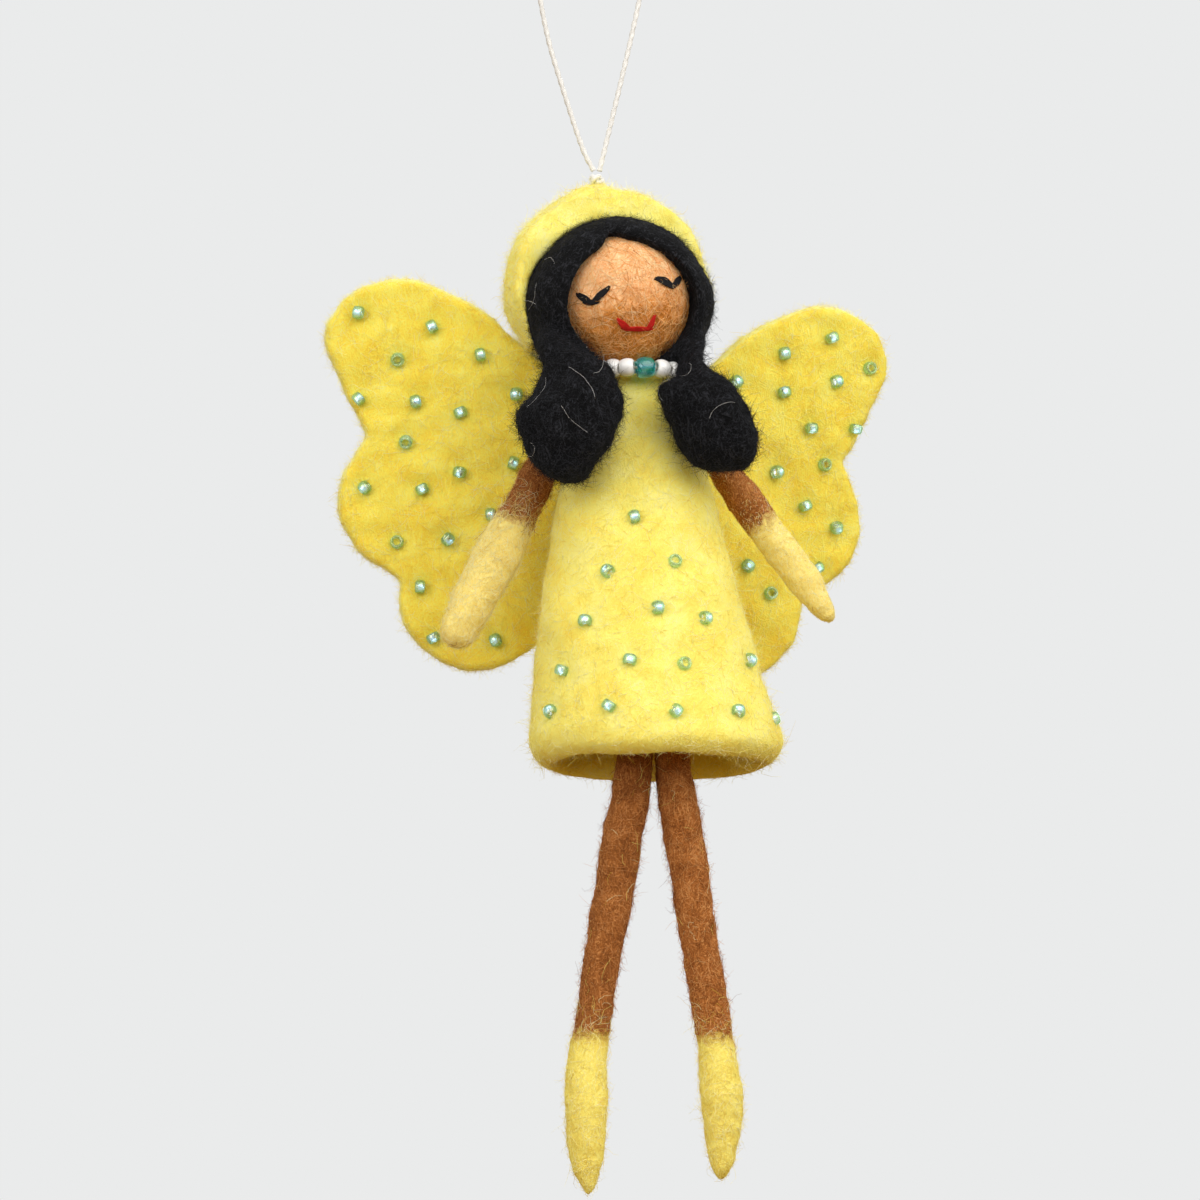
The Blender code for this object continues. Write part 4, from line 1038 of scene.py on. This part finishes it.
def make_limb(name, nodes, body, seam, tip, dyes, wisps, plump, slot, seed):
    """Wool limb over its wire: two dyes that run into each other in wisps at the seam."""
    axis = (tip - seam).normalized()

    def past(spot):
        return (spot - seam).dot(axis) / MM

    bm = wool_skin(nodes, 0.4, swell=0.35)
    bm.normal_update()
    for v in bm.verts:
        share = smooth_step(past(v.co), -3, 3)
        fuller = plump[0] + (plump[1] - plump[0]) * smooth_step(past(v.co), 0, past(tip))
        v.co += (v.normal - axis * axis.dot(v.normal)) * fuller * share * MM
    needle(bm, [(6, 6, 6, 0.3), (2, 2, 2, 0.2), (0.9, 0.9, 0.9, 0.08)], seed)
    limb = mesh_piece(name, bm)
    set_dye_and_painted_light(limb, lambda v: smooth_step(past(v.co), -2.5, 3.0))
    felt = needle_felt(name + "_wound_wool", *dyes, mottle=3.0, grain=0.5, sheen=0.0, spread=0.3)
    finish_piece(limb, [felt], body, slot, *nodes)

    near = wool_fibres(name + "_near_fibre", dyes[0])
    far = wool_fibres(name + "_far_fibre", wisps)

    def far_out(spot):
        return 0.03 + 0.965 * smooth_step(past(spot), -6.5, 3.5)

    def wound(spot, rng):
        across = axis.orthogonal()
        heading = across * rng.gauss(0, 1) + axis.cross(across) * rng.gauss(0, 1)
        return heading + axis * rng.gauss(0, 1.3)

    coats = [
        Coat(2000, 2.8, 0.35, 0.7, 0.05, 3),
        Coat(2800, 1.2, 0.45, 0.4, 0.04, 1),
        Coat(320, 3.6, 1.0, 0.8, 0.046, 5),
    ]
    loose_fibres(name + "_fuzz", limb, near + far, coats, seed, flow=wound, second=far_out)


def end_of(node, direction):
    """Point of a node that lies furthest along a direction."""
    return max((v.co for v in NODES[node].data.vertices), key=lambda p: p.dot(direction)).copy()


def make_limbs():
    """Arms with gloves and legs with pointed shoes."""
    for side, way in SIDES.items():
        shoulder = Vector(JOINTS[side + "_shoulder"]["pos_m"])
        hand = end_of("glove_" + side, Vector((way * 0.5, 0.0, -0.85)))
        seam = shoulder + (hand - shoulder).normalized() * GLOVE_SEAM * MM
        nodes = ["upper_arm_" + side, "glove_" + side]
        # The left arm and leg are a deeper brown than the right ones.
        brown = DEEP_BROWN if side == "left" else BROWN
        dyes = (brown, GLOVE_YELLOW)
        make_limb(
            "wool_arm_" + side, nodes, side + "_arm", seam, hand, dyes, GLOVE_FIBRE, GLOVE_PLUMP[side],
            "yellow_wool", 90 + way,
        )
        ankle = middle_of("shoe_" + side)
        ankle.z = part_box("shoe_" + side)[1].z
        toe = end_of("shoe_" + side, -UP)
        nodes = ["leg_" + side, "shoe_" + side]
        dyes = (brown, SHOE_YELLOW)
        make_limb(
            "wool_leg_" + side, nodes, side + "_leg", ankle, toe, dyes, SHOE_FIBRE, SHOE_PLUMP,
            "brown_wool", 95 + way,
        )


def make_inside():
    """Undyed body core, the felt strip between the wings, its stitches and the armature wires."""
    core = mesh_piece("wool_torso_core", wool_skin(["torso_core"], 0.6))
    felt = needle_felt("undyed_core_wool", RAW)
    finish_piece(core, [felt], "torso", "raw_wool", "torso_core")

    bm = wool_skin(["wing_spine"], 0.4)
    needle(bm, [(3, 3, 3, 0.2), (1.1, 1.1, 1.1, 0.08)], 15)
    spine = mesh_piece("felt_wing_spine", bm)
    finish_piece(spine, [WING_FELT], "torso", "yellow_felt", "wing_spine")

    cotton = cotton_thread("white_sewing_cotton", "#E9E6DD", 0.5)
    # Drawn steel craft wire keeps fine marks of the die.
    steel = mottled_metal("drawn_steel_wire", "#A5A6A8", 0.6, 3.0, 0.25, 0.45)
    for node, thing in NODES.items():
        if node.startswith("wing_stitch"):
            thing.material_slots[0].material = cotton
        elif "_wire" in node:
            thing.material_slots[0].material = steel


def make_necklace():
    """White glass beads and one teal one on a cotton thread."""
    # Opaque white glass: milky, with a smooth fire-polished skin.
    white = pressed_glass(
        "opaque_white_glass", ("#F1F0EE", "#FFFFFF"), (0.0, 1.0), 1.5, 2.0,
        Roughness=0.16, IOR=1.5, Coat_Weight=0.5, Coat_Roughness=0.05,
    )
    # Deep transparent glass, blue above and green where the light comes through.
    teal = pressed_glass(
        "teal_glass", ("#34B2CC", "#58D4A6"), (0.35, 0.65), 2.2, 2.0,
        Roughness=0.05, IOR=1.52, Transmission_Weight=0.75, Coat_Weight=0.7, Coat_Roughness=0.03,
    )
    low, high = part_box("necklace_thread")
    ring = (low + high) / 2
    rng = random.Random(5)
    for node in sorted(NODES):
        if not node.startswith("necklace_") or node == "necklace_thread":
            continue
        centre = middle_of(node)
        axis = tilted(UP.cross(centre - ring), rng, 0.12)
        big = node == "necklace_centre_bead"
        bead = bead_mesh("glass_" + node, CENTRE_BEAD if big else WHITE_BEAD, centre, axis, 16, 28)
        glass = teal if big else white
        finish_piece(bead, [glass, glass], "torso", "teal_bead" if big else "white_bead", node)

    # The thread runs through the beads in front and lies on the dress behind.
    skin = skin_tree(bpy.data.objects["felt_dress"])
    thick = high.z - low.z
    radius = (high.x - low.x - thick) / 2
    count = 96
    points = []
    for i in range(count):
        angle = math.tau * i / count
        spot = ring + radius * Vector((math.sin(angle), -math.cos(angle), 0.0))
        lain, out, _, _ = skin.find_nearest(spot)
        behind = smooth_step(-math.cos(angle), 0.1, 0.75)
        points.append(spot.lerp(lain + out * thick * 0.45, behind))
    curve = round_curve("cotton_necklace_thread", thick / MM, 2)
    add_strand(curve, points, closed=True)
    thread = link_object(curve.name, curve)
    cotton = cotton_thread("necklace_cotton", "#E4DFD0", 0.4)
    finish_piece(thread, [cotton], "torso", "cotton", "necklace_thread")


def make_loop():
    """Cotton hanging loop of two plies, and the knot that it comes out of."""
    cotton = cotton_thread("twisted_white_cotton", "#FCFBF8", 0.7)
    route = [(x * MM, 0.0, z * MM) for x, z in LOOP_ROUTE]
    path = smooth_points(route, 32)
    sides = 10
    bm = bmesh.new()
    bmesh.ops.create_circle(bm, segments=sides, radius=1.0)
    edges = bm.edges[:]
    before = Matrix.Identity(4)
    along = 0.0
    for i, spot in enumerate(path):
        ahead = path[min(i + 1, len(path) - 1)] - path[max(i - 1, 0)]
        along += (spot - path[max(i - 1, 0)]).length
        heading = ahead.normalized()
        side = heading.cross(Vector((0.0, 1.0, 0.0))).normalized()
        lay = Matrix((side, heading.cross(side), heading)).transposed().to_4x4()
        twist = Matrix.Rotation(along / (LOOP_TURN * MM) * math.pi, 4, "Z")
        oval = Matrix.Diagonal((*[LOOP_CORD * share * MM for share in LOOP_OVAL], 1.0, 1.0))
        place = Matrix.Translation(spot) @ lay @ twist @ oval
        if i:
            grown = bmesh.ops.extrude_edge_only(bm, edges=edges)["geom"]
            verts = [g for g in grown if isinstance(g, bmesh.types.BMVert)]
            edges = [g for g in grown if isinstance(g, bmesh.types.BMEdge) and g.is_boundary]
        else:
            verts = bm.verts[:]
        bmesh.ops.transform(bm, matrix=place @ before.inverted(), verts=verts)
        before = place
    bmesh.ops.holes_fill(bm, edges=bm.edges[:], sides=sides)
    loop = mesh_piece("cotton_hanging_loop", bm)
    finish_piece(loop, [cotton], "head", "cotton", "hanging_loop")

    centre = middle_of("loop_knot")
    count = 48
    points = []
    for i in range(count):
        t = math.tau * i / count
        reach = KNOT_REACH + KNOT_SWING * math.cos(3 * t)
        spot = (reach * math.cos(2 * t), reach * math.sin(2 * t), KNOT_HEIGHT * math.sin(3 * t))
        points.append(centre + Vector(spot) * MM)
    curve = round_curve("cotton_loop_knot", 0.9 * LOOP_CORD, 2)
    add_strand(curve, points, closed=True)
    knot = link_object(curve.name, curve)
    finish_piece(knot, [cotton], "head", "cotton", "loop_knot")


def make_studio():
    """Camera at the photograph's angle, soft lights, a pale background and a floor of pale paper."""
    target = Vector(TARGET) * MM
    azimuth, elevation = math.radians(AZIMUTH), math.radians(ELEVATION)
    back = Vector((
        math.sin(azimuth) * math.cos(elevation), -math.cos(azimuth) * math.cos(elevation),
        math.sin(elevation),
    ))
    lens = bpy.data.cameras.new("photo_camera")
    lens.sensor_width = 36.0
    lens.lens = lens.sensor_width * DISTANCE / VIEW_WIDTH
    camera = link_object("photo_camera", lens)
    camera.location = target + back * DISTANCE * MM
    camera.rotation_euler = (-back).to_track_quat("-Z", "Y").to_euler()
    bpy.context.scene.camera = camera

    for name, (place, size, power) in SOFTBOXES.items():
        lamp = bpy.data.lights.new(name, "AREA")
        lamp.shape = "DISK"
        lamp.size = size
        lamp.energy = power
        thing = link_object(name, lamp)
        thing.location = place
        thing.rotation_euler = (target - Vector(place)).to_track_quat("-Z", "Y").to_euler()
    world = bpy.data.worlds.new("studio")
    bpy.context.scene.world = world
    world.use_nodes = True
    tree = world.node_tree
    light = tree.nodes["Background"]
    light.inputs["Color"].default_value = linear(ROOM_LIGHT)
    light.inputs["Strength"].default_value = ROOM_STRENGTH
    pale = add_node(tree, "Background", {"Color": linear(BACKGROUND), "Strength": 1.0})
    both = add_node(tree, "MixShader", {0: seen_rays(tree), 1: light, 2: pale})
    tree.links.new(both.outputs[0], tree.nodes["World Output"].inputs["Surface"])

    bm = bmesh.new()
    lay = Matrix.Translation((0.0, 0.0, FLOOR_Z * MM))
    bmesh.ops.create_circle(bm, cap_ends=True, segments=64, radius=FLOOR_RADIUS * MM, matrix=lay)
    paper = mesh_piece("studio_paper", bm)
    paper.data.materials.append(studio_paper())

    bpy.context.scene.view_settings.view_transform = "Standard"


make_studio()
make_loop()
for side in SIDES:
    make_wing(side)
make_dress()
make_head()
make_hair()
make_hood()
make_limbs()
make_inside()
make_necklace()
